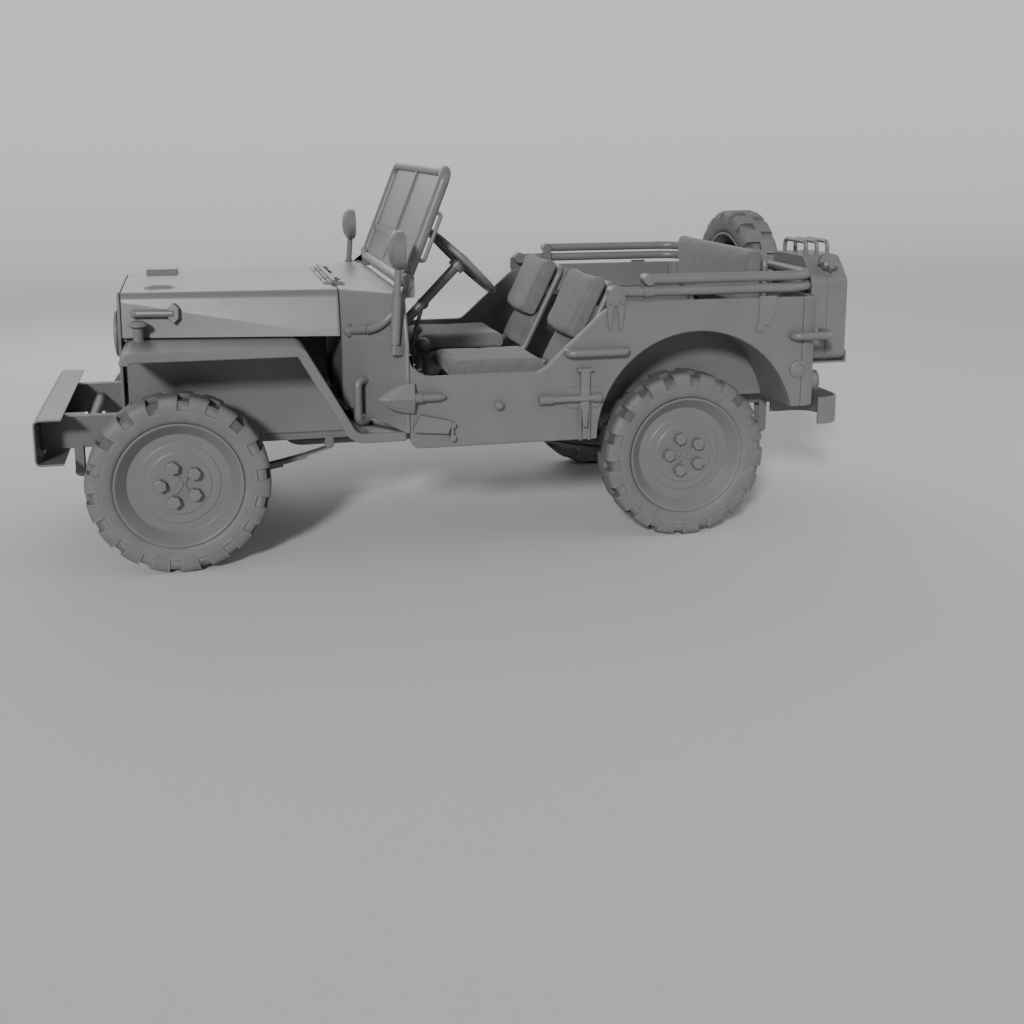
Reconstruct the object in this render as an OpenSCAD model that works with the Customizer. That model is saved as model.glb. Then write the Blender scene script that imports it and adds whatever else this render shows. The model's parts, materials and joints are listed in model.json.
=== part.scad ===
// Open army 4x4 car: +X forward, +Y left, +Z up, origin on the ground under the middle of the box.
// All lengths in millimetres.

/* [Overall] */
// Distance between the axles
wheelbase = 2032; // [1900:1:2200]
// Front axle to the bumper's face
front_overhang = 524; // [480:1:600]
// Rear axle to the rearmost guard
rear_overhang = 729; // [700:1:800]
// Distance between the wheel planes
track = 1226; // [1180:1:1280]
// Width over the body sides
body_width = 1575; // [1520:1:1640]

/* [Wheels] */
// Radius over the lugs
tyre_radius = 344; // [330:1:360]
// Width of the tyre
tyre_width = 158; // [140:1:170]
// Lugs on each shoulder
lug_count = 18; // [12:1:24]
// Height of the lugs
lug_height = 15; // [8:1:20]
// Radius where the tyre sits on the rim
bead_radius = 208; // [195:1:215]
// Studs of a wheel
stud_count = 5; // [4:1:6]
// Circle that the studs stand on
stud_circle_radius = 69.85; // [60:0.05:80]

/* [Body heights] */
// Lower edge of the body sides
skirt_z = 460; // [440:1:480]
// Top of the door sill
sill_z = 740; // [700:1:780]
// Rim of the body sides
rim_z = 1002; // [960:1:1040]
// Lower edge of the tail
tail_low_z = 548; // [540:1:560]
// Top of the hood and cowl
hood_z = 1050; // [1020:1:1080]
// Top of the front fenders
fender_z = 866; // [840:1:890]

/* [Body lengths] */
// Front axle to the grille's face
grille_ahead = 206; // [180:1:230]
// Length of the hood
hood_length = 844; // [800:1:880]
// Length of the cowl
cowl_length = 228; // [200:1:260]
// Length of the door sill
door_length = 514; // [480:1:560]
// Rear axle to the tail's face
tail_behind = 524; // [500:1:550]

/* [Panels] */
// Thickness of the body sides
side_wall = 26; // [15:1:35]
// Thickness of floor sheets
floor_wall = 12; // [8:1:16]
// Thickness of fender sheets
fender_wall = 8; // [5:1:12]
// Thickness of the hood
hood_wall = 10; // [6:1:14]
// Width over the fenders
fender_span = 1500; // [1440:1:1560]

/* [Windscreen] */
// Backward tilt of the windscreen
screen_tilt = 21.7; // [10:0.1:30]
// Width over the windscreen frame
screen_width = 1248; // [1180:1:1300]
// Pivot to the top of the frame
screen_height = 458; // [420:1:500]

/* [Steering] */
// Wheel plane to the king pin
king_offset = 112; // [105:1:125]
// Radius of the steering wheel
hand_wheel_radius = 190; // [170:1:210]

/* [Hidden] */

$fn = 48;
// Gap of seated pieces, gap of pins in bores, overrun of cuts, steps of a rounded corner
seat_gap = 0.3;
run_gap = 0.05;
over = 2;
corner_steps = 5;

// Stations along X
overall_length = wheelbase + front_overhang + rear_overhang;
fa = overall_length/2 - front_overhang;
ra = rear_overhang - overall_length/2;
rear_x = -overall_length/2;
bumper_x = overall_length/2;
grille_x = fa + grille_ahead;
hood_rear_x = grille_x - hood_length;
cowl_rear_x = hood_rear_x - cowl_length;
door_rear_x = cowl_rear_x - door_length;
tail_x = ra - tail_behind;
body_y = body_width/2;
inner_y = body_y - side_wall;
wheel_y = track/2;

// Helpers
function unit(v) = v/norm(v);
function xy(p) = [p[0], p[1]];
// A corner b between a and c, rounded by r
function corner(a, b, c, r) = r <= 0 ? [b] :
  let (u = unit(a - b), v = unit(c - b), half = acos(max(-1, min(1, u*v)))/2, t = r/tan(half),
       m = b + unit(u + v)*r/sin(half), p = b + u*t, q = b + v*t,
       s = atan2(p.y - m.y, p.x - m.x), e = atan2(q.y - m.y, q.x - m.x),
       d = e - s > 180 ? e - s - 360 : e - s < -180 ? e - s + 360 : e - s)
  [for (i = [0:corner_steps]) m + r*[cos(s + d*i/corner_steps), sin(s + d*i/corner_steps)]];
// Closed outline from points [x, y, radius]
function rounded(p) = [for (i = [0:len(p) - 1])
  each corner(xy(p[(i + len(p) - 1) % len(p)]), xy(p[i]), xy(p[(i + 1) % len(p)]), p[i][2])];
// Open path from points [x, y, radius]
function path(p) = [for (i = [0:len(p) - 1])
  each i == 0 || i == len(p) - 1 ? [xy(p[i])] : corner(xy(p[i - 1]), xy(p[i]), xy(p[i + 1]), p[i][2])];
function left_of(v) = [-v.y, v.x];
function side_step(p, i, t) = let (n = len(p),
    a = left_of(unit(i == 0 ? p[1] - p[0] : p[i] - p[i - 1])),
    b = left_of(unit(i == n - 1 ? p[i] - p[i - 1] : p[i + 1] - p[i])))
  p[i] + (a + b)*t/(1 + a*b);
// Band of thickness t to the left of an open path
function band(p, t) = concat(p, [for (i = [len(p) - 1:-1:0]) side_step(p, i, t)]);

module along_x(x0, x1) translate([x0, 0, 0]) rotate([90, 0, 90]) linear_extrude(height = x1 - x0) children();
module along_y(y0, y1) translate([0, y1, 0]) rotate([90, 0, 0]) linear_extrude(height = y1 - y0) children();
module along_z(z0, z1) translate([0, 0, z0]) linear_extrude(height = z1 - z0) children();
module block(a, b) translate(a) cube(b - a);
module bar_x(r, x0, x1) translate([x0, 0, 0]) rotate([0, 90, 0]) cylinder(r = r, h = x1 - x0);
module bar_y(r, y0, y1) translate([0, y0, 0]) rotate([-90, 0, 0]) cylinder(r = r, h = y1 - y0);
module bar_z(r, z0, z1) translate([0, 0, z0]) cylinder(r = r, h = z1 - z0);
module both() { children(); mirror([0, 1, 0]) children(); }

// Rod between two points
module rod(a, b, r) {
  d = b - a;
  translate(a) rotate([0, acos(d.z/norm(d)), atan2(d.y, d.x)]) cylinder(r = r, h = norm(d));
}
// Bent tube through points, each inner corner turned on the bend radius; the bends swell a little
function turn(p, i) = acos(max(-1, min(1, unit(p[i] - p[i - 1])*unit(p[i + 1] - p[i]))));
function cut_back(p, i, bend) = bend*tan(turn(p, i)/2);
module elbow(a, b, c, r, bend) {
  d = unit(b - a);
  e = unit(c - b);
  n = unit(e - d*(d*e));
  t = acos(max(-1, min(1, d*e)));
  s = b - d*bend*tan(t/2);
  m = s + n*bend;
  w = cross(-n, d);
  multmatrix([[-n.x, d.x, w.x, m.x], [-n.y, d.y, w.y, m.y], [-n.z, d.z, w.z, m.z], [0, 0, 0, 1]])
    rotate_extrude(angle = t) translate([bend, 0]) circle(r = r);
}
bend_swell = 0.15;
bend_dip = 1.5;
module tube_run(p, r, bend) {
  n = len(p);
  for (i = [0:n - 2]) {
    d = unit(p[i + 1] - p[i]);
    rod(i == 0 ? p[0] : p[i] + d*(cut_back(p, i, bend) - bend_dip),
        i == n - 2 ? p[n - 1] : p[i + 1] - d*(cut_back(p, i + 1, bend) - bend_dip), r - bend_swell);
  }
  for (i = [1:n - 2]) elbow(p[i - 1], p[i], p[i + 1], r, bend);
}

// Frame: rails with a kick at each end, cross members, spring hangers
rail_out = 371;
rail_width = 45;
rail_in = rail_out - rail_width;
rail_top = 525;
rail_low = 425;
horn_top = 566;
horn_low = 440;
rear_rail_top = 570;
rear_rail_low = 480;
front_kick_ahead = 80;
front_kick_behind = 260;
rear_kick_start = 420;
rear_kick_end = 180;
bumper_wall = 8;
spring_radius = 2000;
spring_width = 44;
spring_mid_y = (rail_in + rail_out)/2;
leaf_thick = 8;
leaf_count = 5;
spring_pad = 8;
axle_tube_r = 38;
spring_z = tyre_radius - axle_tube_r - spring_pad;
eye_r = 20;
eye_pin_r = 10;
eye_rise = 12;
ear_wall = 6;
ear_r = 18;
// Spring eyes: distance from the axle along X
front_eye_ahead = 380;
front_eye_behind = 600;
rear_eye_ahead = 540;
rear_eye_behind = 480;
function eye_angle(d) = asin(d/spring_radius);
function eye_x(d) = (spring_radius - eye_rise)*sin(eye_angle(d));
function eye_z(d) = spring_z + spring_radius - (spring_radius - eye_rise)*cos(eye_angle(d));
// Hangers: axle, distance along X, top of the ear
hangers = [[fa, front_eye_ahead, horn_low], [fa, -front_eye_behind, rail_low],
  [ra, rear_eye_ahead, rail_low], [ra, -rear_eye_behind, rear_rail_low]];
ear_bite = 12;
// Tow plate on the rear cross member
tow_reach = 75;
tow_half = 60;
tow_wall = 20;
tow_hole_r = 16;
tow_hole_back = 40;
cross_r = 24;
grille_wall = 12;
radiator_ahead = 30;
radiator_depth = 60;
radiator_x = grille_x - grille_wall - radiator_ahead - radiator_depth/2;
cross_behind = 94;
gearbox_back = 168;
gearbox_rear_x = cowl_rear_x - gearbox_back;
transfer_length = 190;
// Cross members: place along X, height
cross_bars = [[fa + grille_ahead*0.5 + tyre_radius*0.68, (horn_low + horn_top)/2], [radiator_x, (horn_low + horn_top)/2],
  [cowl_rear_x, rail_low + cross_r], [gearbox_rear_x - transfer_length - cross_behind, rail_top - cross_r - ear_bite],
  [tail_x + rail_width, (rear_rail_low + rear_rail_top)/2]];
tail_bar = cross_bars[len(cross_bars) - 1];
module frame() color("dimgray") both() {
  along_y(rail_in, rail_out) polygon([[bumper_x - bumper_wall, horn_low], [bumper_x - bumper_wall, horn_top],
    [fa + front_kick_ahead, horn_top], [fa - front_kick_behind, rail_top], [ra + rear_kick_start, rail_top],
    [ra + rear_kick_end, rear_rail_top], [tail_inner_x + seat_gap, rear_rail_top],
    [tail_inner_x + seat_gap, tail_low_z - seat_gap], [tail_x, tail_low_z - seat_gap], [tail_x, rear_rail_low],
    [ra + rear_kick_end, rear_rail_low], [ra + rear_kick_start, rail_low], [fa - front_kick_behind, rail_low],
    [fa + front_kick_ahead, horn_low]]);
  for (h = hangers) translate([h[0] + eye_x(h[1]), 0, 0]) {
    for (y = [rail_in - ear_wall, rail_out])
      along_y(y, y + ear_wall) {
        translate([-ear_r, eye_z(h[1])]) square([ear_r*2, h[2] + ear_bite - eye_z(h[1])]);
        translate([0, eye_z(h[1])]) circle(r = ear_r);
      }
    translate([0, 0, eye_z(h[1])]) bar_y(eye_pin_r, rail_in - ear_wall, rail_out + ear_wall);
  }
}
module cross_members() color("dimgray") {
  for (c = cross_bars) translate([c[0], 0, c[1]]) bar_y(cross_r, -rail_in, rail_in);
  difference() {
    translate([0, 0, tail_bar[1]]) block([tail_x - tow_reach, -tow_half, -tow_wall/2], [tail_bar[0], tow_half, tow_wall/2]);
    translate([tail_x - tow_hole_back, 0, tail_bar[1]]) bar_z(tow_hole_r, -tow_wall, tow_wall);
  }
}

// Leaf springs: stacked leaves, the longest carries the eyes
spring_steps = 24;
function on_spring(r, a) = [r*sin(a), spring_z + spring_radius - r*cos(a)];
function leaf_share(i) = 1 - i/(leaf_count + 1);
// Stepped end of the stack towards the angle a
function leaf_ends(a) = [for (i = [0:leaf_count - 1], k = [0, 1])
  on_spring(spring_radius + (i + k)*leaf_thick, a*leaf_share(i))];
function leaf_arc(r, a, b) = [for (i = [1:spring_steps - 1]) on_spring(r, a + (b - a)*i/spring_steps)];
function backwards(p) = [for (i = [len(p) - 1:-1:0]) p[i]];
module leaf_spring(ahead, behind) {
  a = eye_angle(ahead);
  b = -eye_angle(behind);
  last = leaf_share(leaf_count - 1);
  along_y(spring_mid_y - spring_width/2, spring_mid_y + spring_width/2) difference() {
    union() {
      polygon(concat(backwards(leaf_ends(b)), leaf_arc(spring_radius, b, a), leaf_ends(a),
        leaf_arc(spring_radius + leaf_count*leaf_thick, a*last, b*last)));
      for (d = [ahead, -behind]) translate([eye_x(d), eye_z(d)]) circle(r = eye_r);
    }
    for (d = [ahead, -behind]) translate([eye_x(d), eye_z(d)]) circle(r = eye_pin_r + seat_gap);
  }
}
module leaf_springs() color("darkslategray") both() {
  translate([fa, 0, 0]) leaf_spring(front_eye_ahead, front_eye_behind);
  translate([ra, 0, 0]) leaf_spring(rear_eye_ahead, rear_eye_behind);
}

// Front bumper: channel open to the rear, bolted to the ends of the rails
bumper_span = 1100;
bumper_low = 414;
bumper_top = 594;
bumper_depth = 105;
bumper_round = 22;
bolt_hole_r = 8;
bumper_bolt_space = 80;
bumper_bolt_y = 450;
module front_bumper() color("gray") difference() {
  along_y(-bumper_span/2, bumper_span/2)
    polygon(band(path([[bumper_x - bumper_depth, bumper_low, 0], [bumper_x, bumper_low, bumper_round],
      [bumper_x, bumper_top, bumper_round], [bumper_x - bumper_depth, bumper_top, 0]]), bumper_wall));
  both() for (s = [-1, 1])
    translate([0, bumper_bolt_y, (bumper_low + bumper_top)/2 + s*bumper_bolt_space/2])
      bar_x(bolt_hole_r, bumper_x - bumper_wall - over, bumper_x + over);
}

// Rear guards: bent bands on the ends of the rails
guard_wall = 12;
guard_low = 432;
guard_top = 548;
guard_out = 640;
guard_round = 95;
guard_return = 120;
module rear_bumperettes() color("gray") both()
  along_z(guard_low, guard_top)
    polygon(band(path([[tail_x, spring_mid_y - guard_wall/2, 0], [rear_x, spring_mid_y - guard_wall/2, guard_round],
      [rear_x, guard_out, guard_round], [rear_x + guard_return, guard_out, 0]]), -guard_wall));

// Floor: front pan with a tunnel and a toe board, riser, load floor between the housings
toe_back = 50;
toe_x = hood_rear_x - toe_back;
toe_rise = 73;
toe_run = 34;
toe_half = 515;
housing_in = 484;
housing_wall = 10;
riser_ahead = 432;
riser_x = ra + riser_ahead;
tunnel_half = 135;
tunnel_top = 608;
tunnel_round = 30;
tunnel_length = 400;
load_floor_z = rear_rail_top;
tail_wall = 24;
tail_inner_x = tail_x + tail_wall;
module tunnel_outline(d) polygon(rounded([[-tunnel_half + d, rail_top - over, 0], [tunnel_half - d, rail_top - over, 0],
  [tunnel_half - d, tunnel_top - d, tunnel_round - d], [-tunnel_half + d, tunnel_top - d, tunnel_round - d]]));
module column_hole() translate([hand_wheel_x, column_y, hand_wheel_z]) rotate([0, 90 + column_tilt, 0])
  cylinder(r = column_r + column_gap, h = box_drop);
module floor() color("darkolivegreen") {
  difference() {
    union() {
      along_z(rail_top, rail_top + floor_wall) polygon([[riser_x, -inner_y], [cowl_rear_x, -inner_y],
        [toe_x, -toe_half], [toe_x, toe_half], [cowl_rear_x, inner_y], [riser_x, inner_y]]);
      along_y(-toe_half, toe_half) polygon(band([[toe_x - floor_wall, rail_top], [toe_x, rail_top],
        [toe_x + toe_run, rail_top + toe_rise]], floor_wall));
      intersection() {
        along_x(toe_x + toe_run - tunnel_length, toe_x + toe_run) tunnel_outline(0);
        block([riser_x, -tunnel_half, rail_top], [hood_rear_x, tunnel_half, tunnel_top]);
      }
    }
    along_x(toe_x + toe_run - tunnel_length + floor_wall, hood_rear_x) tunnel_outline(floor_wall);
    column_hole();
  }
  block([riser_x - floor_wall, -housing_in, rail_top], [riser_x, housing_in, load_floor_z + floor_wall]);
  block([tail_inner_x, -housing_in, load_floor_z], [riser_x, housing_in, load_floor_z + floor_wall]);
}

// Body sides: one sheet each, with the door cut down to the sill and the wheel arch
arch_r = 420;
arch_z = 455;
nose_round = 42;
post_height = 88;
post_tip = 6;
post_round = 80;
heel_round = 60;
quarter_run = 290;
quarter_round = 170;
tail_round = 60;
tail_return = 72;
module body_side() along_y(inner_y, body_y) difference() {
  polygon(rounded([[cowl_rear_x, skirt_z, nose_round], [cowl_rear_x, sill_z + post_height, 0],
    [cowl_rear_x - post_tip, sill_z + post_height, 0], [cowl_rear_x - post_tip, sill_z, post_round],
    [door_rear_x, sill_z, heel_round], [door_rear_x - quarter_run, rim_z, quarter_round],
    [tail_x + tail_return, rim_z, 0], [tail_x + tail_return, tail_low_z, 0], [ra, tail_low_z, 0], [ra, skirt_z, 0]]));
  translate([ra, arch_z]) circle(r = arch_r, $fn = 120);
}
module body_side_left() color("olivedrab") body_side();
module body_side_right() color("olivedrab") mirror([0, 1, 0]) body_side();

// Rear panel with rounded corners
module rear_panel() color("olivedrab") along_z(tail_low_z, rim_z)
  polygon(band(path([[tail_x + tail_return, -body_y, 0], [tail_x, -body_y, tail_round],
    [tail_x, body_y, tail_round], [tail_x + tail_return, body_y, 0]]), -tail_wall));

// Wheel housings: arch sheet, inner wall and shelf on each side
shelf_z = arch_z + arch_r + housing_wall;
housing_lean = 90;
shelf_front_x = riser_x - housing_lean;
module wheel_housing() {
  difference() {
    along_y(housing_in, inner_y) difference() {
      translate([ra, arch_z]) circle(r = arch_r + housing_wall, $fn = 120);
      translate([ra, arch_z]) circle(r = arch_r, $fn = 120);
      translate([ra - arch_r*2, 0]) square([arch_r*2, tail_low_z]);
      translate([ra, 0]) square([arch_r*2, rail_top]);
    }
    block([riser_x - over, housing_in - over, 0], [riser_x + arch_r, inner_y + over, shelf_z]);
  }
  along_y(housing_in, housing_in + housing_wall) difference() {
    polygon([[tail_inner_x, tail_low_z], [riser_x, tail_low_z], [shelf_front_x, shelf_z], [tail_inner_x, shelf_z]]);
    translate([ra, arch_z]) intersection() {
      circle(r = arch_r*0.2);
      square(arch_r, center = true);
    }
  }
  along_z(shelf_z - housing_wall, shelf_z) polygon(rounded([[tail_inner_x, housing_in, 0], [shelf_front_x, housing_in, 0],
    [shelf_front_x, inner_y, 0], [tail_inner_x, inner_y, tail_round - tail_wall]]));
  along_y(housing_in, inner_y) polygon([[riser_x - housing_wall, floor_top], [riser_x, floor_top], [riser_x, tail_low_z],
    [shelf_front_x, shelf_z], [shelf_front_x - housing_wall, shelf_z], [riser_x - housing_wall, tail_low_z]]);
}
module wheel_housings() color("darkolivegreen") both() wheel_housing();

// Cowl: a shell that widens from the hood to the body sides, with fire wall, dash and hinge lugs
cowl_wall = 22;
fire_wall = 14;
cowl_front_half = 545;
cowl_front_top_half = 490;
cowl_front_low = 600;
cowl_rear_top_half = 700;
cowl_edge_round = 60;
cowl_knee_z = fender_z;
dash_low = 900;
dash_wall = 12;
hinge_rise = 12;
hinge_pin_r = 6;
hinge_barrel_r = 11;
hinge_leaf = 40;
hinge_leaf_wall = 8;
hinge_z = hood_z + hinge_rise;
hinge_half = 344;
hinge_knuckle = 40;
hinge_end_gap = 1;
screen_pivot_rise = 50;
screen_pivot_back = 25;
screen_pivot_x = cowl_rear_x - screen_pivot_back;
screen_pivot_z = hood_z + screen_pivot_rise;
screen_pin_r = 9;
screen_tube_r = 23;
screen_ear_wall = 16;
screen_ear_space = 22;
screen_ear_y = screen_width/2 + screen_ear_space;
screen_ear_half = 20;
screen_lug_r = 22;
column_r = 20;
column_y = 300;
column_tilt = 45.8;
column_gap = 4;
hand_wheel_back = 300;
hand_wheel_x = cowl_rear_x - hand_wheel_back;
hand_wheel_z = 1130;
// Bent arm from a flange on the cowl's side up to the windscreen's pivot ear
pivot_arm_r = 16;
pivot_arm_bend = 100;
pivot_arm_foot_back = 16;
pivot_arm_foot_rise = 27;
pivot_arm_foot_in = 12;
pivot_arm_knee_ahead = 83;
pivot_arm_knee_rise = 60;
pivot_arm_knee_in = 52;
pivot_arm_flange_r = 25;
pivot_arm_flange = [14, 34];
module pivot_arm() {
  foot = [hood_rear_x - pivot_arm_foot_back, cowl_front_half + pivot_arm_foot_in, cowl_knee_z + pivot_arm_foot_rise];
  knee = [cowl_rear_x + pivot_arm_knee_ahead, body_y - pivot_arm_knee_in, cowl_knee_z + pivot_arm_knee_rise];
  tip = [screen_pivot_x, screen_ear_y + screen_ear_wall/2, screen_pivot_z - screen_ear_half];
  tube_run([foot, knee, tip], pivot_arm_r, pivot_arm_bend);
  rod(foot + unit(knee - foot)*pivot_arm_flange[0], foot + unit(knee - foot)*pivot_arm_flange[1], pivot_arm_flange_r);
}
module cowl_section(d, low_half, top_half, low_z) polygon(rounded([[-low_half + d, low_z - d, 0],
  [low_half - d, low_z - d, 0], [low_half - d, cowl_knee_z, 0], [top_half - d, hood_z - d, cowl_edge_round - d],
  [-top_half + d, hood_z - d, cowl_edge_round - d], [-low_half + d, cowl_knee_z, 0]]));
module cowl_form(d, front, rear) hull() {
  along_x(hood_rear_x - front - floor_wall, hood_rear_x - front)
    cowl_section(d, cowl_front_half, cowl_front_top_half, cowl_front_low);
  along_x(cowl_rear_x - rear, cowl_rear_x - rear + floor_wall)
    cowl_section(d, body_y, cowl_rear_top_half, cowl_rear_low);
}
module cowl() color("olive") {
  difference() {
    cowl_form(0, 0, 0);
    cowl_form(cowl_wall, fire_wall, over);
    block([cowl_rear_x - over, -body_y, 0], [hood_rear_x - fire_wall, body_y, cowl_rear_low]);
    column_hole();
  }
  intersection() {
    cowl_form(0, 0, 0);
    block([cowl_rear_x, -body_y, dash_low], [cowl_rear_x + dash_wall, body_y, hood_z]);
  }
  translate([hood_rear_x, 0, hinge_z]) {
    bar_y(hinge_pin_r, -hinge_half, hinge_half);
    for (y = [-hinge_half, -hinge_half/2, hinge_half/2 - hinge_knuckle, hinge_half - hinge_knuckle]) {
      bar_y(hinge_barrel_r, y, y + hinge_knuckle);
      block([-hinge_leaf, y, -hinge_rise - over], [0, y + hinge_knuckle, -hinge_rise + hinge_leaf_wall]);
    }
  }
  both() {
    block([screen_pivot_x - screen_ear_half, screen_ear_y, hood_z - cowl_wall],
      [screen_pivot_x + screen_ear_half + cowl_wall*2, screen_ear_y + screen_ear_wall, hood_z + over]);
    along_y(screen_ear_y, screen_ear_y + screen_ear_wall) {
      translate([screen_pivot_x - screen_ear_half, hood_z]) square([screen_ear_half*2, screen_pivot_rise]);
      translate([screen_pivot_x, screen_pivot_z]) circle(r = screen_ear_half);
    }
    translate([screen_pivot_x, 0, screen_pivot_z])
      bar_y(screen_pin_r, screen_width/2 - screen_tube_r*2, screen_ear_y + over);
    pivot_arm();
  }
}

// Hood: tapered shell with hinge barrels, rest blocks and side latches
hood_gap = 3;
hood_low_gap = 5;
hood_front_low_half = 408;
hood_front_top_half = 388;
hood_front_drop = 5;
hood_front_z = hood_z - hood_front_drop;
hood_edge_round = 45;
hood_low_z = fender_z + hood_low_gap;
hood_front_x = grille_x - grille_wall - hood_gap;
// Rest block on the right and low bump on the left of the top
hood_rest_ahead = 685;
rest_block = [134, 96, 26];
rest_block_y = 320;
bump_r = 48;
bump_length = 134;
bump_height = 18;
bump_y = 250;
// Bar latch on each side, in the flat front part of the side
latch_ahead = 628;
latch_z = 966;
latch_bar_r = 16;
latch_bar_off = 20;
latch_bar_length = 148;
latch_plate = [40, 30, 82];
latch_bite = 4;
latch_round_share = 1.12;
side_run = hood_front_x - hood_rear_x - hood_gap - hood_wall*2;
side_slope = atan((cowl_front_half - hood_front_low_half)/side_run);
side_lean = atan((hood_front_low_half - hood_front_top_half)/(hood_front_z - hood_low_z));
function hood_half(x, z) = hood_front_low_half + (hood_front_x - hood_wall - x)*tan(side_slope) - (z - hood_low_z)*tan(side_lean);
module hood_latch() {
  x = hood_rear_x + latch_ahead;
  w = latch_plate.x/2;
  h = latch_plate.z/2;
  translate([x, hood_half(x, latch_z), latch_z]) rotate([0, 0, -side_slope]) rotate([side_lean, 0, 0]) {
    along_y(-latch_bite, latch_plate.y) polygon([[-w, -h/2], [0, -h], [w, -h/2], [w, h/2], [0, h], [-w, h/2]]);
    translate([0, latch_bar_off, 0]) {
      bar_x(latch_bar_r, 0, latch_bar_length);
      translate([latch_bar_length, 0, 0]) sphere(r = latch_bar_r*latch_round_share);
    }
  }
}
// Low round-ended bump: a half revolve at each end of a segment
bump_steps = 8;
bump_radius = (bump_r*bump_r + bump_height*bump_height)/(2*bump_height);
bump_angle = asin(bump_r/bump_radius);
function bump_arc(a, b) = [for (i = [0:bump_steps]) let (t = a + (b - a)*i/bump_steps)
  [bump_radius*sin(t), bump_height - bump_radius*(1 - cos(t))]];
module hood_bump() {
  half = bump_length/2 - bump_r;
  for (t = [0, 180]) rotate([0, 0, t]) translate([half, 0, 0]) rotate([0, 0, -90]) rotate_extrude(angle = 180)
    polygon(concat(bump_arc(0, bump_angle), [[bump_r, -over], [0, -over]]));
  along_x(-half, half) polygon(concat(bump_arc(-bump_angle, bump_angle), [[bump_r, -over], [-bump_r, -over]]));
}
module hood_section(d, low_half, top_half, top) polygon(rounded([[-low_half + d, hood_low_z - d, 0],
  [low_half - d, hood_low_z - d, 0], [top_half - d, top - d, hood_edge_round - d],
  [-top_half + d, top - d, hood_edge_round - d]]));
module hood_form(d, ends) hull() {
  along_x(hood_rear_x + hood_gap - ends, hood_rear_x + hood_gap + hood_wall)
    hood_section(d, cowl_front_half, cowl_front_top_half, hood_z);
  along_x(hood_front_x - hood_wall, hood_front_x + ends)
    hood_section(d, hood_front_low_half, hood_front_top_half, hood_front_z);
}
module hood() color("olive") difference() {
  union() {
    difference() {
      hood_form(0, 0);
      hood_form(hood_wall, over);
    }
    translate([hood_rear_x, 0, hinge_z])
      for (y = [-hinge_half + hinge_knuckle, -hinge_half/2 + hinge_knuckle, 0, hinge_half/2])
        let (e = y < -hinge_half/2 ? -hinge_half/2 : y < 0 ? 0 : y < hinge_half/2 ? hinge_half/2 - hinge_knuckle :
             hinge_half - hinge_knuckle, s = y + (y == 0 ? 0 : hinge_end_gap)) {
          bar_y(hinge_barrel_r, s, e - (e == 0 ? 0 : hinge_end_gap));
          block([0, s, -hinge_rise - over], [hinge_leaf, e - (e == 0 ? 0 : hinge_end_gap), -hinge_rise + hinge_leaf_wall]);
        }
    translate([hood_rear_x + hood_rest_ahead, 0, hood_front_z]) {
      translate([-rest_block.x/2, -rest_block_y - rest_block.y/2, -over]) cube(rest_block);
      translate([0, bump_y, 0]) hood_bump();
    }
    both() hood_latch();
  }
  translate([hood_rear_x, 0, hinge_z]) bar_y(hinge_pin_r + run_gap, -hinge_half - over, hinge_half + over);
}

// Grille: flat panel with upright slots and two lamp holes
grille_low = horn_top + seat_gap;
grille_low_half = 400;
grille_inset = hood_wall + hood_gap;
slot_count = 9;
slot_pitch = 44;
slot_width = 26;
slot_low = 660;
slot_top = 985;
lamp_y = 300;
lamp_z = 880;
lamp_r = 88;
module grille() color("olive") along_x(grille_x - grille_wall, grille_x) difference() {
  // The upper part passes between the sides of the opening hood
  polygon(rounded([[-grille_low_half, grille_low, 0], [grille_low_half, grille_low, 0], [hood_front_low_half, fender_z, 0],
    [hood_front_low_half - grille_inset, fender_z, 0], [hood_front_top_half - grille_inset, hood_front_z, hood_edge_round],
    [grille_inset - hood_front_top_half, hood_front_z, hood_edge_round], [grille_inset - hood_front_low_half, fender_z, 0],
    [-hood_front_low_half, fender_z, 0]]));
  for (i = [0:slot_count - 1]) translate([(i - (slot_count - 1)/2)*slot_pitch, 0]) {
    translate([-slot_width/2, slot_low]) square([slot_width, slot_top - slot_low]);
    for (z = [slot_low, slot_top]) translate([0, z]) circle(r = slot_width/2);
  }
  for (s = [-1, 1]) translate([s*lamp_y, lamp_z]) circle(r = lamp_r + seat_gap);
}

// Lamps: two head lamps in the grille, two tail lamps, a reflector on each side
lamp_depth = 70;
lamp_rim = 10;
tail_lamp_r = 38;
tail_lamp_depth = 30;
tail_lamp_in = 87.5;
tail_lamp_y = body_y - tail_lamp_in;
tail_lamp_z = 640;
reflector_r = 35;
reflector_wall = 9;
reflector_ahead = 91;
reflector_z = 705;
module lamps() color("lightgray") both() {
  translate([grille_x, lamp_y, lamp_z]) rotate([0, 90, 0]) rotate_extrude()
    polygon([[0, -lamp_depth], [lamp_r*0.5, -lamp_depth], [lamp_r*0.75, -grille_wall*2], [lamp_r*0.75, -grille_wall],
      [lamp_r, -grille_wall], [lamp_r, lamp_rim],
      [lamp_r*0.88, lamp_rim*1.6], [lamp_r*0.5, lamp_rim*2.1], [0, lamp_rim*2.3]]);
  translate([tail_x, tail_lamp_y, tail_lamp_z]) bar_x(tail_lamp_r, -tail_lamp_depth, 0);
  translate([tail_x + reflector_ahead, body_y, reflector_z]) rotate([-90, 0, 0]) rotate_extrude()
    polygon([[0, 0], [reflector_r, 0], [reflector_r, reflector_wall], [reflector_r*0.8, reflector_wall*1.3],
      [reflector_r*0.72, reflector_wall*0.7], [0, reflector_wall]]);
}

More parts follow.
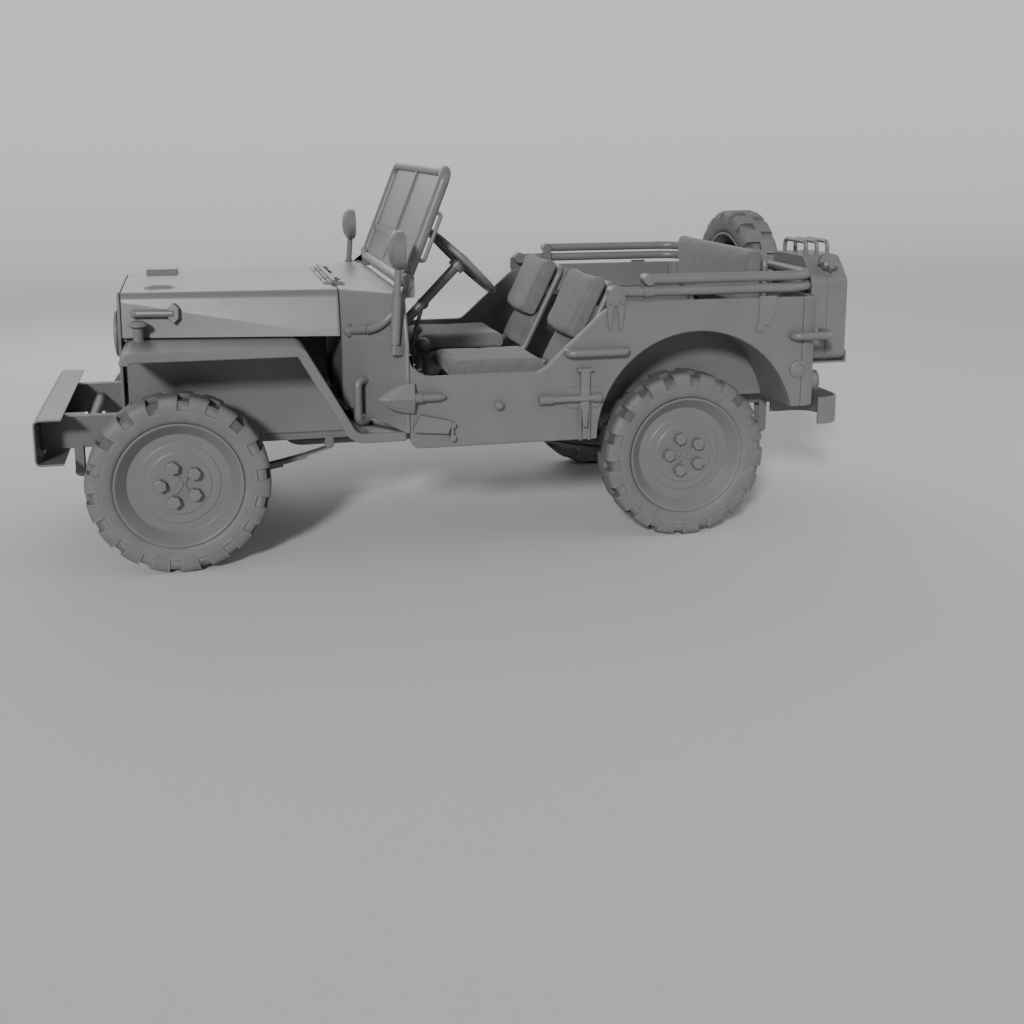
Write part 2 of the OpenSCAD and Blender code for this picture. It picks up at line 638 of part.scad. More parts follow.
// Fenders: bent sheet with a rolled lip, an apron on the rail, and the step behind
fender_out = fender_span/2;
fender_ahead = 190;
fender_front_x = fa + fender_ahead;
fender_nose = 40;
fender_bend_ahead = 163;
fender_bend_x = hood_rear_x + fender_bend_ahead;
fender_low_back = 32;
fender_low_x = hood_rear_x - fender_low_back;
step_z = 522;
step_rear_gap = 8;
cowl_rear_low = step_z + seat_gap;
step_rear_x = cowl_rear_x + step_rear_gap;
fender_round = 45;
lip_height = 38;
lip_width = 16;
apron_wall = 6;
apron_low = 455;
fender_path = path([[step_rear_x, step_z, 0], [fender_low_x, step_z, fender_round],
  [fender_bend_x, fender_z, fender_round], [fender_front_x, fender_z, fender_nose],
  [fender_front_x, fender_z - fender_nose*1.2, 0]]);
// Mushroom post that the hood's latch bar hooks on
stop_ahead = 128;
stop_y = 466;
stop_r = 20;
stop_head_r = 38;
stop_neck = 55;
stop_height = 78;
module latch_stop() translate([fa + stop_ahead, stop_y, fender_z]) rotate_extrude()
  polygon([[0, -over], [stop_r, -over], [stop_r, stop_neck], [stop_head_r, stop_neck + over], [stop_head_r, stop_height*0.85],
    [stop_head_r*0.6, stop_height], [0, stop_height]]);
module fender() {
  latch_stop();
  along_y(rail_out + seat_gap, fender_out) polygon(band(fender_path, -fender_wall));
  along_y(fender_out - lip_width, fender_out) polygon(band(fender_path, -lip_height));
  along_y(rail_out + seat_gap, rail_out + seat_gap + apron_wall)
    polygon([[fender_front_x - fender_wall, fender_z - fender_wall/2], [fender_bend_x, fender_z - fender_wall/2],
      [fender_low_x + floor_wall, step_z + floor_wall*2], [fender_low_x + floor_wall, apron_low],
      [fender_front_x - fender_wall, horn_low + apron_wall*3]]);
}
module fender_left() color("darkseagreen") fender();
module fender_right() color("darkseagreen") mirror([0, 1, 0]) fender();

// Engine block and radiator
engine_behind = 30;
engine_front_x = fa - engine_behind;
engine_rear_gap = 20;
engine_rear_x = hood_rear_x + engine_rear_gap;
engine_half = 140;
engine_low = 480;
engine_top = 890;
engine_round = 40;
module engine() color("slategray") along_x(engine_rear_x, engine_front_x)
  polygon(rounded([[-engine_half, engine_low, engine_round], [engine_half, engine_low, engine_round],
    [engine_half, engine_top, engine_round], [-engine_half, engine_top, engine_round]]));
radiator_half = 230;
radiator_top = 1000;
radiator_low = (horn_low + horn_top)/2 + cross_r + seat_gap;
module radiator() color("black") block([radiator_x - radiator_depth/2, -radiator_half, radiator_low],
  [radiator_x + radiator_depth/2, radiator_half, radiator_top]);

// Drive line: gearbox, transfer case and two shafts
gearbox_half = 105;
gearbox_low = 480;
gearbox_top = 590;
transfer_out = 250;
transfer_in = 40;
transfer_low = 350;
transfer_top = 515;
shaft_y = 180;
shaft_z = 412;
shaft_r = 22;
pinion_reach = 190;
pinion_r = 42;
shaft_gap = 3;
module drivetrain() color("slategray") {
  block([gearbox_rear_x, -gearbox_half, gearbox_low], [engine_rear_x, gearbox_half, gearbox_top]);
  block([gearbox_rear_x - transfer_length, -transfer_out, transfer_low], [gearbox_rear_x, -transfer_in, transfer_top]);
  block([gearbox_rear_x - over, -gearbox_half, gearbox_low], [gearbox_rear_x + over, -transfer_in, transfer_top]);
  rod([gearbox_rear_x - over, -shaft_y, shaft_z], [fa - pinion_reach - shaft_gap, -shaft_y, tyre_radius], shaft_r);
  rod([gearbox_rear_x - transfer_length + over, -shaft_y, shaft_z], [ra + pinion_reach + shaft_gap, -shaft_y, tyre_radius], shaft_r);
}

// Exhaust: pipe from the engine, muffler and tail pipe
pipe_r = 20;
pipe_bend = 80;
pipe_y = 235;
pipe_z = 390;
pipe_head_ahead = 200;
pipe_head_x = engine_rear_x + pipe_head_ahead;
muffler_r = 58;
muffler_back = 420;
muffler_x = cowl_rear_x - muffler_back;
muffler_length = 380;
tail_pipe = 90;
module exhaust() color("sienna") {
  tube_run([[pipe_head_x, engine_half, engine_top*0.8], [pipe_head_x, pipe_y, engine_top*0.8],
    [pipe_head_x, pipe_y, pipe_z], [muffler_x, pipe_y, pipe_z]], pipe_r, pipe_bend);
  translate([0, pipe_y, pipe_z]) bar_x(muffler_r, muffler_x - muffler_length, muffler_x);
  translate([0, pipe_y, pipe_z]) bar_x(pipe_r, muffler_x - muffler_length - tail_pipe, muffler_x - muffler_length);
}

// Axles: tubes, differential, spring pads; the front one ends in balls and king pins
king_y = wheel_y - king_offset;
ball_r = 75;
king_pin_r = 14;
king_reach = 108;
diff_r = 112;
spindle_r = 22;
spindle_out = 36;
back_plate_in = 24;
back_plate_out = 17;
back_plate_r = 126;
pad_half = 45;
pad_gap = 0.9;
pad_bottom = spring_z + pad_gap;
module axle_middle() {
  translate([0, -shaft_y, tyre_radius]) {
    sphere(r = diff_r);
    bar_y(diff_r*0.6, -diff_r*1.2, diff_r*1.2);
  }
  both() block([-pad_half, rail_in, pad_bottom], [pad_half, rail_out, tyre_radius]);
}
module front_axle() color("dimgray") translate([fa, 0, 0]) {
  axle_middle();
  translate([0, -shaft_y, tyre_radius]) bar_x(pinion_r, -pinion_reach, 0);
  translate([0, 0, tyre_radius]) bar_y(axle_tube_r, -king_y, king_y);
  both() translate([0, king_y, tyre_radius]) {
    sphere(r = ball_r);
    bar_z(king_pin_r, -king_reach, king_reach);
  }
}
module rear_axle() color("dimgray") translate([ra, 0, 0]) {
  axle_middle();
  translate([0, -shaft_y, tyre_radius]) bar_x(pinion_r, 0, pinion_reach);
  translate([0, 0, tyre_radius]) {
    bar_y(axle_tube_r, -wheel_y + back_plate_in, wheel_y - back_plate_in);
    bar_y(spindle_r, -wheel_y - spindle_out, wheel_y + spindle_out);
    both() bar_y(back_plate_r, wheel_y - back_plate_in, wheel_y - back_plate_out);
  }
}

// Knuckles: cup round the ball, king pin bosses, spindle, back plate and steering arm
cup_r = 92;
cup_gap = 3;
cup_mouth = -6;
cup_step = 12;
boss_r = 26;
boss_low = 80;
boss_top = 112;
arm_reach = 140;
arm_r = 15;
arm_z = 24;
arm_eye_r = 20;
arm_eye_half = 14;
rod_pin_r = 8;
tie_rod_rise = 32;
tie_rod_r = 13;
module knuckle() translate([fa, king_y, tyre_radius]) difference() {
  union() {
    rotate([-90, 0, 0]) rotate_extrude() polygon(concat(
      [for (a = [cup_mouth:cup_step:90]) cup_r*[cos(a), sin(a)]],
      [for (a = [90:-cup_step:cup_mouth]) (ball_r + cup_gap)*[cos(a), sin(a)]]));
    for (s = [0, 180]) rotate([s, 0, 0]) bar_z(boss_r, boss_low, boss_top);
    bar_y(spindle_r, ball_r + cup_gap*2, king_offset + spindle_out);
    bar_y(back_plate_r, king_offset - back_plate_in, king_offset - back_plate_out);
    translate([0, 0, arm_z]) {
      bar_x(arm_r, ball_r + cup_gap*2, arm_reach);
      translate([arm_reach, 0, 0]) bar_z(arm_eye_r, -arm_eye_half, arm_eye_half);
    }
  }
  bar_z(king_pin_r + run_gap, -boss_top - over, boss_top + over);
  translate([arm_reach, 0, arm_z]) bar_z(rod_pin_r + run_gap, -arm_eye_half - over, arm_eye_half + over);
}
module knuckle_left() color("silver") knuckle();
module knuckle_right() color("silver") mirror([0, 1, 0]) knuckle();

// Tie rod on pins in the steering arms
module tie_rod() color("silver") translate([fa + arm_reach, 0, tyre_radius + arm_z]) {
  translate([0, 0, tie_rod_rise]) bar_y(tie_rod_r, -king_y, king_y);
  both() translate([0, king_y, 0]) {
    bar_z(rod_pin_r, -arm_eye_half, tie_rod_rise);
    translate([0, 0, tie_rod_rise]) sphere(r = tie_rod_r*1.35);
  }
}

// Wheels: revolved rim and disc with studs, and a tyre with lugs in two rows
carcass_r = tyre_radius - lug_height;
tyre_half = tyre_width/2;
bead_half = 42;
flange_r = 241;
flange_half = 68;
flange_wall = 7;
rim_wall = 10;
drum_r = 128;
drum_in = 12;
disc_face = 44;
disc_wall = 12;
nut_r = 27;
nut_reach = 28;
cap_r = 34;
wheel_fit = 0.5;
module disc_form(bored) rotate([-90, 0, 0]) {
  rotate_extrude($fn = 96) polygon(concat(
    bored ? [[0, disc_face], [0, spindle_out + over], [spindle_r + run_gap, spindle_out + over], [spindle_r + run_gap, -drum_in]] :
      [[0, disc_face], [0, -drum_in]],
    [[drum_r, -drum_in], [drum_r, disc_face - disc_wall*1.7], [bead_radius - rim_wall*2, disc_face - disc_wall],
     [bead_radius - rim_wall, disc_face - disc_wall*2], [bead_radius - rim_wall, -bead_half],
     [flange_r - rim_wall, -flange_half - flange_wall], [flange_r, -flange_half - flange_wall], [flange_r, -flange_half],
     [bead_radius, -bead_half], [bead_radius, bead_half], [flange_r, flange_half], [flange_r, flange_half + flange_wall],
     [flange_r - rim_wall*0.6, flange_half + flange_wall], [bead_radius - rim_wall*0.3, disc_face],
     [bead_radius*0.82, disc_face], [bead_radius*0.78, disc_face - rim_wall*0.8], [bead_radius*0.6, disc_face - rim_wall*0.8],
     [bead_radius*0.56, disc_face]]));
  for (i = [0:stud_count - 1]) rotate([0, 0, i*360/stud_count]) translate([stud_circle_radius, 0, disc_face - over])
    cylinder(r = nut_r, h = nut_reach + over, $fn = 6);
}
lug_angle_share = 0.64;
lug_bite = 4;
lug_groove = 3;
lug_shoulder = 10;
lug_foot = 40;
module tyre_form() rotate([-90, 0, 0]) {
  rotate_extrude($fn = 96) polygon([for (s = [-1, 1]) each let (h = [
      [bead_radius + wheel_fit, bead_half - wheel_fit], [flange_r, flange_half - wheel_fit*2],
      [flange_r + lug_height*0.8, tyre_half - lug_bite], [carcass_r - lug_foot, tyre_half - lug_bite/2],
      [carcass_r - lug_shoulder, tyre_half - lug_shoulder], [carcass_r, tyre_half - lug_shoulder*2]])
    [for (i = [0:len(h) - 1]) let (p = h[s > 0 ? len(h) - 1 - i : i]) [p.x, s*p.y]]]);
  for (s = [0, 1], i = [0:lug_count - 1])
    rotate([0, 0, (i + s/2)*360/lug_count]) mirror([0, 0, s])
      rotate_extrude(angle = lug_angle_share*360/lug_count, $fn = 96)
        polygon([[carcass_r - lug_bite, lug_groove], [tyre_radius, lug_groove], [tyre_radius, tyre_half - lug_shoulder*1.6],
          [tyre_radius - lug_shoulder, tyre_half - lug_shoulder/4], [carcass_r - lug_foot*0.8, tyre_half],
          [carcass_r - lug_foot, tyre_half - lug_bite], [carcass_r - lug_shoulder, tyre_half - lug_shoulder*1.6],
          [carcass_r - lug_bite, tyre_half - lug_shoulder*2.4]]);
}
module front_left() translate([fa, wheel_y, tyre_radius]) children();
module rear_left() translate([ra, wheel_y, tyre_radius]) children();
module disc_front_left() color("gray") front_left() disc_form(true);
module disc_front_right() color("gray") mirror([0, 1, 0]) front_left() disc_form(true);
module disc_rear_left() color("gray") rear_left() disc_form(true);
module disc_rear_right() color("gray") mirror([0, 1, 0]) rear_left() disc_form(true);
module tyre_front_left() color("black") front_left() tyre_form();
module tyre_front_right() color("black") mirror([0, 1, 0]) front_left() tyre_form();
module tyre_rear_left() color("black") rear_left() tyre_form();
module tyre_rear_right() color("black") mirror([0, 1, 0]) rear_left() tyre_form();

// Spare wheel on the tail, its carrier and the fuel can's tray
spare_y = 262;
spare_z = 945;
spare_gap = 12;
spare_x = tail_x - spare_gap - tyre_half;
module on_tail() translate([spare_x, -spare_y, spare_z]) rotate([0, 0, 90]) children();
module spare_disc() color("gray") on_tail() disc_form(true);
module spare_tyre() color("black") on_tail() tyre_form();
carrier_r = 60;
can_width = 380;
can_depth = 165;
can_height = 440;
can_y = 452;
can_z = 705;
can_back = 30;
tray_wall = 8;
tray_lip = 45;
can_x = tail_x - can_back;
module rear_carriers() color("darkgray") {
  translate([0, -spare_y, spare_z]) {
    bar_x(carrier_r, spare_x + drum_in, tail_x);
    bar_x(spindle_r - seat_gap, spare_x - spindle_out, tail_x);
  }
  block([can_x - can_depth - tray_wall, can_y - can_width/2, can_z - tray_wall], [tail_x, can_y + can_width/2, can_z]);
  block([can_x - can_depth - tray_wall - seat_gap, can_y - can_width/2, can_z - tray_wall],
    [can_x - can_depth - seat_gap, can_y + can_width/2, can_z + tray_lip]);
  block([can_x + seat_gap, can_y - can_width/4, can_z - tray_wall], [tail_x, can_y + can_width/4, can_z + can_height*0.6]);
}
can_round = 40;
can_shoulder = 95;
can_rib = 5;
can_rib_width = 26;
handle_r = 9;
handle_rise = 55;
handle_bend = 24;
cap_height = 50;
cap_lobes = 8;
module fuel_can() color("olive") {
  difference() {
    along_x(can_x - can_depth, can_x) polygon(rounded([[can_y - can_width/2, can_z, can_round],
      [can_y + can_width/2, can_z, can_round], [can_y + can_width/2, can_z + can_height - can_shoulder, can_round],
      [can_y + can_width/2 - can_shoulder, can_z + can_height, can_round], [can_y - can_width/2, can_z + can_height, can_round]]));
    for (x = [can_x - can_rib, can_x - can_depth - over], a = [-45, 45])
      translate([x, can_y, can_z + can_height/2]) rotate([a, 0, 0])
        translate([0, -can_width*0.42, -can_rib_width/2]) cube([can_rib + over, can_width*0.84, can_rib_width]);
  }
  for (i = [-1, 0, 1]) translate([can_x - can_depth/2 + i*can_depth*0.3, 0, can_z + can_height - over])
    tube_run([[0, can_y - can_width*0.38, 0], [0, can_y - can_width*0.38, handle_rise], [0, can_y + can_width*0.15, handle_rise],
      [0, can_y + can_width*0.15, 0]], handle_r, handle_bend);
  translate([can_x - can_depth/2, can_y + can_width/2 - can_shoulder*0.5, can_z + can_height - can_shoulder*0.5])
    rotate([-45, 0, 0]) {
      bar_z(cap_r*0.8, -over*4, cap_height);
      bar_z(cap_r, cap_height*0.45, cap_height*1.1);
      for (i = [0:cap_lobes - 1]) rotate([0, 0, i*360/cap_lobes]) translate([cap_r, 0, 0])
        bar_z(cap_r*0.3, cap_height*0.5, cap_height);
    }
}

// Windscreen: tube loop, lower panel, bars and two panes, all in the tilted plane
screen_half = screen_width/2 - screen_tube_r;
screen_low = 20;
screen_bend = 50;
screen_panel = 118;
screen_bar = 24;
screen_bar_half = 12;
screen_sheet = 10;
field_wall = 4;
field_edge = 45;
pane_wall = 6;
screen_lug_gap = 5;
// Clamp stay behind each side tube
stay_r = 8;
stay_off = 40;
stay_bend = 12;
stay_low = 80;
stay_top = 275;
module in_screen() translate([screen_pivot_x, 0, screen_pivot_z]) rotate([0, -screen_tilt, 0]) children();
module windscreen_frame() color("olive") in_screen() difference() {
  union() {
    tube_run([[0, 0, -screen_low], [0, screen_half, -screen_low], [0, screen_half, screen_height - screen_tube_r],
      [0, -screen_half, screen_height - screen_tube_r], [0, -screen_half, -screen_low], [0, 0, -screen_low]],
      screen_tube_r, screen_bend);
    block([-screen_sheet/2, -screen_half, -screen_low], [screen_sheet/2, screen_half, screen_panel]);
    block([-screen_bar_half, -screen_half, screen_panel], [screen_bar_half, screen_half, screen_panel + screen_bar]);
    block([-screen_bar_half, -screen_bar_half, screen_panel], [screen_bar_half, screen_bar_half, screen_height - screen_tube_r]);
    both() {
      block([-screen_sheet/2 - field_wall, field_edge, screen_tube_r/2], [screen_sheet/2 + field_wall,
        screen_half - field_edge, screen_panel - field_edge/2]);
      bar_y(screen_lug_r, screen_half - screen_tube_r, screen_ear_y - screen_lug_gap);
      tube_run([[0, screen_half, stay_low], [-stay_off, screen_half, stay_low], [-stay_off, screen_half, stay_top],
        [0, screen_half, stay_top]], stay_r, stay_bend);
    }
  }
  both() bar_y(screen_pin_r + run_gap, screen_half - screen_tube_r*2 - over, screen_ear_y);
}
module windscreen_panes() color("lightblue") in_screen() both()
  along_x(-pane_wall/2, pane_wall/2) polygon(rounded([[screen_bar_half + seat_gap, screen_panel + screen_bar + seat_gap, 0],
    [screen_half - screen_tube_r - seat_gap, screen_panel + screen_bar + seat_gap, 0],
    [screen_half - screen_tube_r - seat_gap, screen_height - screen_tube_r*2 - seat_gap, screen_bend - screen_tube_r],
    [screen_bar_half + seat_gap, screen_height - screen_tube_r*2 - seat_gap, 0]]));

// Steering column with its box on the rail, and the hand wheel
box_drop = 880;
box_size = [100, 64, 100];
shaft_end_r = 9;
hub_r = 34;
hub_height = 40;
grip_r = 14;
spoke_r = 9;
spoke_count = 3;
module on_column() translate([hand_wheel_x, column_y, hand_wheel_z]) rotate([0, column_tilt - 90, 0]) children();
module steering_column() color("dimgray") {
  on_column() {
    bar_z(column_r, -box_drop - column_r*2, -hub_height);
    bar_z(shaft_end_r, -hub_height - over, hub_height/2);
  }
  translate([hand_wheel_x + box_drop*cos(column_tilt), 0, hand_wheel_z - box_drop*sin(column_tilt)])
    block([-box_size.x/2, rail_in - box_size.y, -box_size.z/2], [box_size.x/2, rail_in, box_size.z/2]);
}
module steering_wheel() color("black") on_column() difference() {
  union() {
    rotate_extrude($fn = 96) translate([hand_wheel_radius - grip_r, 0]) circle(r = grip_r, $fn = 24);
    bar_z(hub_r, -hub_height + seat_gap, hub_height/2);
    for (i = [0:spoke_count - 1]) rotate([0, 0, i*360/spoke_count]) bar_x(spoke_r, hub_r/2, hand_wheel_radius - grip_r);
  }
  bar_z(shaft_end_r + run_gap, -hub_height - over, hub_height/2 + over);
}

// Seats: tube frames on the floor, cushions on the tubes
seat_y = 370;
seat_half = 200;
seat_back_off = 185;
seat_length = 503;
seat_front_x = cowl_rear_x - seat_back_off;
seat_rear_x = seat_front_x - seat_length;
seat_top = 750;
cushion = 75;
seat_tube_r = 14;
seat_bend = 45;
back_lean = 26;
back_height = 268;
back_wall = 70;
back_end_z = 1040;
floor_top = rail_top + floor_wall;
seat_tube_z = seat_top - cushion - seat_tube_r - seat_gap;
back_run = back_end_z - seat_tube_z;
back_end_x = seat_rear_x - back_run*tan(back_lean);
brace_r = 11;
module seat_frame() {
  y = seat_half - seat_tube_r;
  tube_run([[seat_front_x - seat_bend, -y, floor_top], [seat_front_x - seat_bend, -y, seat_tube_z], [seat_rear_x, -y, seat_tube_z],
    [back_end_x, -y, back_end_z], [back_end_x, y, back_end_z], [seat_rear_x, y, seat_tube_z],
    [seat_front_x - seat_bend, y, seat_tube_z], [seat_front_x - seat_bend, y, floor_top]], seat_tube_r, seat_bend);
  for (s = [-1, 1]) rod([seat_rear_x + seat_bend*2, s*y, floor_top], [seat_rear_x + seat_bend*2, s*y, seat_tube_z], brace_r);
  for (x = [seat_front_x - seat_bend*3, seat_rear_x + seat_bend*3]) translate([x, 0, seat_tube_z]) bar_y(brace_r, -y, y);
}
rear_seat_half = 440;
rear_seat_behind = 130;
rear_seat_front_x = ra - rear_seat_behind;
rear_seat_top = 800;
rear_back_top = 1175;
rear_back_low = 900;
rear_back_ahead = 128;
rear_back_x = tail_x + rear_back_ahead;
load_top = load_floor_z + floor_wall;
rear_tube_z = rear_seat_top - cushion - seat_tube_r - seat_gap;
module rear_seat_frame() {
  y = rear_seat_half - seat_tube_r*2;
  x = rear_back_x - back_wall/2 - seat_tube_r - seat_gap;
  tube_run([[rear_seat_front_x - seat_bend, -y, load_top], [rear_seat_front_x - seat_bend, -y, rear_tube_z], [x, -y, rear_tube_z],
    [x, -y, rear_back_top - seat_bend], [x, y, rear_back_top - seat_bend], [x, y, rear_tube_z],
    [rear_seat_front_x - seat_bend, y, rear_tube_z], [rear_seat_front_x - seat_bend, y, load_top]], seat_tube_r, seat_bend);
  translate([rear_seat_front_x - seat_bend*3, 0, rear_tube_z]) bar_y(brace_r, -y, y);
}
module seat_frames() color("dimgray") {
  both() translate([0, seat_y, 0]) seat_frame();
  rear_seat_frame();
}
cushion_round = 28;
roll_wall = 38;
roll_round = 12;
roll_height = 112;
lumbar_wall = 26;
lumbar_low = 410;
lumbar_half = seat_half - seat_tube_r*2 - seat_gap;
module front_cushions() {
  along_y(-seat_half, seat_half) polygon(rounded([[seat_rear_x + cushion, seat_top - cushion, cushion_round],
    [seat_front_x, seat_top - cushion, cushion_round], [seat_front_x, seat_top, cushion_round],
    [seat_rear_x + cushion, seat_top, cushion_round]]));
  translate([back_end_x, 0, back_end_z]) rotate([0, -back_lean, 0]) {
    translate([seat_tube_r + seat_gap, 0, 0])
      along_y(-seat_half, seat_half) polygon(rounded([[0, -back_height, cushion_round], [back_wall, -back_height, cushion_round],
        [back_wall, seat_bend/2, cushion_round], [0, seat_bend/2, cushion_round]]));
    // Roll behind the top tube, and a lower pad between the tubes
    translate([-seat_tube_r - seat_gap - roll_wall, 0, 0])
      along_y(-seat_half, seat_half) polygon(rounded([[0, -roll_height, roll_round], [roll_wall, -roll_height, roll_round],
        [roll_wall, seat_bend/2, roll_round], [0, seat_bend/2, roll_round]]));
    along_y(-lumbar_half, lumbar_half) polygon(rounded([[-lumbar_wall/2, -lumbar_low, roll_round], [lumbar_wall/2, -lumbar_low, roll_round],
      [lumbar_wall/2, -back_height + cushion_round, 0], [-lumbar_wall/2, -back_height + cushion_round, roll_round]]));
  }
}
module driver_cushions() color("tan") translate([0, seat_y, 0]) front_cushions();
module passenger_cushions() color("tan") translate([0, -seat_y, 0]) front_cushions();
module rear_cushions() color("tan") {
  along_y(-rear_seat_half, rear_seat_half) polygon(rounded([[rear_back_x + back_wall, rear_seat_top - cushion, cushion_round],
    [rear_seat_front_x, rear_seat_top - cushion, cushion_round], [rear_seat_front_x, rear_seat_top, cushion_round],
    [rear_back_x + back_wall, rear_seat_top, cushion_round]]));
  along_y(-rear_seat_half, rear_seat_half) polygon(rounded([[rear_back_x - back_wall/2, rear_back_low, cushion_round],
    [rear_back_x + back_wall/2, rear_back_low, cushion_round], [rear_back_x + back_wall/2, rear_back_top, cushion_round],
    [rear_back_x - back_wall/2, rear_back_top, cushion_round]]));
}

// Levers on the tunnel and pedals on the floor in front of the toe board
lever_r = 9;
lever_height = 312;
lever_back = 105;
lever_x = cowl_rear_x - lever_back;
boot_r = 30;
boot_height = 30;
// Levers, as shares of the lever height: place back, place to the left, rise, lean back, knob radius
lever_shares = [[0, 0, 1, 0.27, 0.085], [0.11, 0.2, 0.44, 0.12, 0.105], [0.11, -0.2, 0.6, 0.12, 0.065]];
pedal_x = toe_x - boot_r;
pedal_r = 7;
pedal_pad = [12, 62, 70];
pedal_height = 110;
// Pedals: place along Y
pedal_row = [column_y - column_r*3.2, column_y + column_r*3.2, column_y + column_r*7.2];
module control_levers() color("black") {
  for (l = lever_shares*lever_height) translate([lever_x - l[0], l[1], tunnel_top]) {
    bar_z(boot_r, 0, boot_height);
    rod([0, 0, boot_height/2], [-l[3], 0, l[2]], lever_r);
    translate([-l[3], 0, l[2]]) rotate([0, -atan2(l[3], l[2]), 0]) sphere(r = l[4]);
  }
  for (y = pedal_row) translate([pedal_x, y, floor_top]) {
    bar_z(pedal_r, 0, pedal_height);
    translate([-pedal_pad.x, -pedal_pad.y/2, pedal_height - pedal_pad.z/2]) cube(pedal_pad);
  }
}

// Mirrors on posts from the cowl sides
mirror_r = 73;
mirror_wall = 30;
mirror_dome = 26;
mirror_y = 760;
mirror_ahead = 29;
mirror_x = cowl_rear_x + mirror_ahead;
mirror_z = 1221;
post_r = 13;
post_foot_ahead = 34;
post_foot_drop = 20;
post_foot_z = fender_z - post_foot_drop;
post_foot = [44, 30, 34];
post_sleeve_r = 18;
post_sleeve_shares = [0.1, 0.56];
flare = atan2(body_y - cowl_front_half, cowl_length - floor_wall);
flare_out = [sin(flare), cos(flare), 0];
function flare_y(ahead) = body_y - (ahead - floor_wall)*tan(flare);
// Point on the cowl's flare, and a frame on it with Y outwards
function on_flare(ahead, z) = [cowl_rear_x + ahead, flare_y(ahead), z];
module at_flare(ahead, z) translate(on_flare(ahead, z)) rotate([0, 0, -flare]) children();
module mirrors() color("gray") both() {
  low = on_flare(post_foot_ahead, post_foot_z - post_foot.z/2) + post_foot.y*flare_out;
  head = [mirror_x, mirror_y, mirror_z];
  at_flare(post_foot_ahead, post_foot_z)
    block([-post_foot.x/2, seat_gap, -post_foot.z/2], [post_foot.x/2, post_foot.y, post_foot.z/2]);
  rod(low, head, post_r);
  rod(low + (head - low)*post_sleeve_shares[0], low + (head - low)*post_sleeve_shares[1], post_sleeve_r);
  translate(head) rotate([0, 90, 0]) rotate_extrude() polygon([[0, -mirror_wall/2], [mirror_r, -mirror_wall/2],
    [mirror_r, mirror_wall/2], [mirror_r*0.88, mirror_wall/2 + mirror_dome*0.4], [mirror_r*0.6, mirror_wall/2 + mirror_dome*0.8],
    [mirror_r*0.25, mirror_wall/2 + mirror_dome], [0, mirror_wall/2 + mirror_dome]]);
}

// Grab handles: on each cowl flare, on each quarter and round each rear corner
grab_r = 16;
grab_stand = 34;
grab_bend = 24;
grab_back = 105;
grab_x = door_rear_x - grab_back;
grab_length = 237;
grab_z = 812;
flare_grab_ahead = 148;
flare_grab_stand = 48;
flare_grab_low = 550;
flare_grab_top = 712;
corner_grab_ahead = 121;
corner_grab_behind = 40;
corner_grab_in = 82;
corner_grab_z = 845;
module grab_handles() color("gray") both() {
  tube_run([[grab_x, body_y, grab_z], [grab_x, body_y + grab_stand, grab_z], [grab_x - grab_length, body_y + grab_stand, grab_z],
    [grab_x - grab_length, body_y, grab_z]], grab_r, grab_bend);
  at_flare(flare_grab_ahead, 0) tube_run([[0, seat_gap, flare_grab_top], [0, flare_grab_stand, flare_grab_top],
    [0, flare_grab_stand, flare_grab_low], [0, seat_gap, flare_grab_low]], grab_r, grab_bend);
  translate([tail_x, body_y, corner_grab_z]) tube_run([[corner_grab_ahead, 0, 0], [corner_grab_ahead, grab_stand, 0],
    [-corner_grab_behind, grab_stand, 0], [-corner_grab_behind, -corner_grab_in, 0], [0, -corner_grab_in, 0]], grab_r, grab_bend);
}

// Tools on the left side: shovel, axe head with its clasp, footman knob and the clamp for the long tools
shovel_back = 14;
shovel_x = cowl_rear_x - shovel_back;
shovel_z = 664;
blade_length = 140;
blade_half = 59;
blade_wall = 6;
blade_ridge = 20;
blade_ridge_r = 5;
haft_r = 16;
haft_length = 124;
haft_point = 34;
socket_r = 20;
socket_length = 30;
axe_back = 2;
axe_x = cowl_rear_x - axe_back;
axe_z = 520;
axe_size = [158, 30, 78];
axe_round = 9;
// Axe head outline, as shares of its length and height
axe_shares = [[0, 0.16], [-0.22, 1], [-1, 0.6], [-0.88, 0]];
clasp_r = 13;
clasp_link_r = 6;
clasp_drop = 51;
knob_back = 344;
knob_z = 618;
stud_knob_r = 17;
stud_knob_reach = 30;
clamp_back = 689;
clamp_x = cowl_rear_x - clamp_back;
clamp_z = 631;
clamp_plate = [144, 6, 84];
clamp_plate_round = 20;
clamp_bar_r = 14;
clamp_bar_ahead = 186;
clamp_bar_behind = 66;
clamp_grip_r = 18;
clamp_grip_length = 54;
clamp_width = 36;
clamp_depth = 20;
clamp_rise = 119;
clamp_head = [64, 14];
clamp_tail = 115;
clamp_tip_share = 0.45;
clamp_leg_r = 4;
clamp_leg_low = 169;
module blade_outline() {
  r = (blade_length*blade_length + blade_half*blade_half)/(2*blade_half);
  intersection() {
    translate([0, r - blade_half]) circle(r = r, $fn = 96);
    translate([0, blade_half - r]) circle(r = r, $fn = 96);
    translate([0, -blade_half]) square([blade_length, blade_half*2]);
  }
}
module shovel() translate([shovel_x, body_y + seat_gap + socket_r, shovel_z]) {
  hull() {
    along_y(-blade_wall/2, blade_wall/2) blade_outline();
    translate([0, blade_ridge, 0]) bar_x(blade_ridge_r, 0, blade_length*0.7);
  }
  bar_x(socket_r, -socket_length, over);
  rotate([0, -90, 0]) rotate_extrude() polygon([[0, 0], [haft_r, 0], [haft_r, haft_length - haft_point],
    [haft_r*0.6, haft_length - haft_point*0.3], [0, haft_length]]);
}
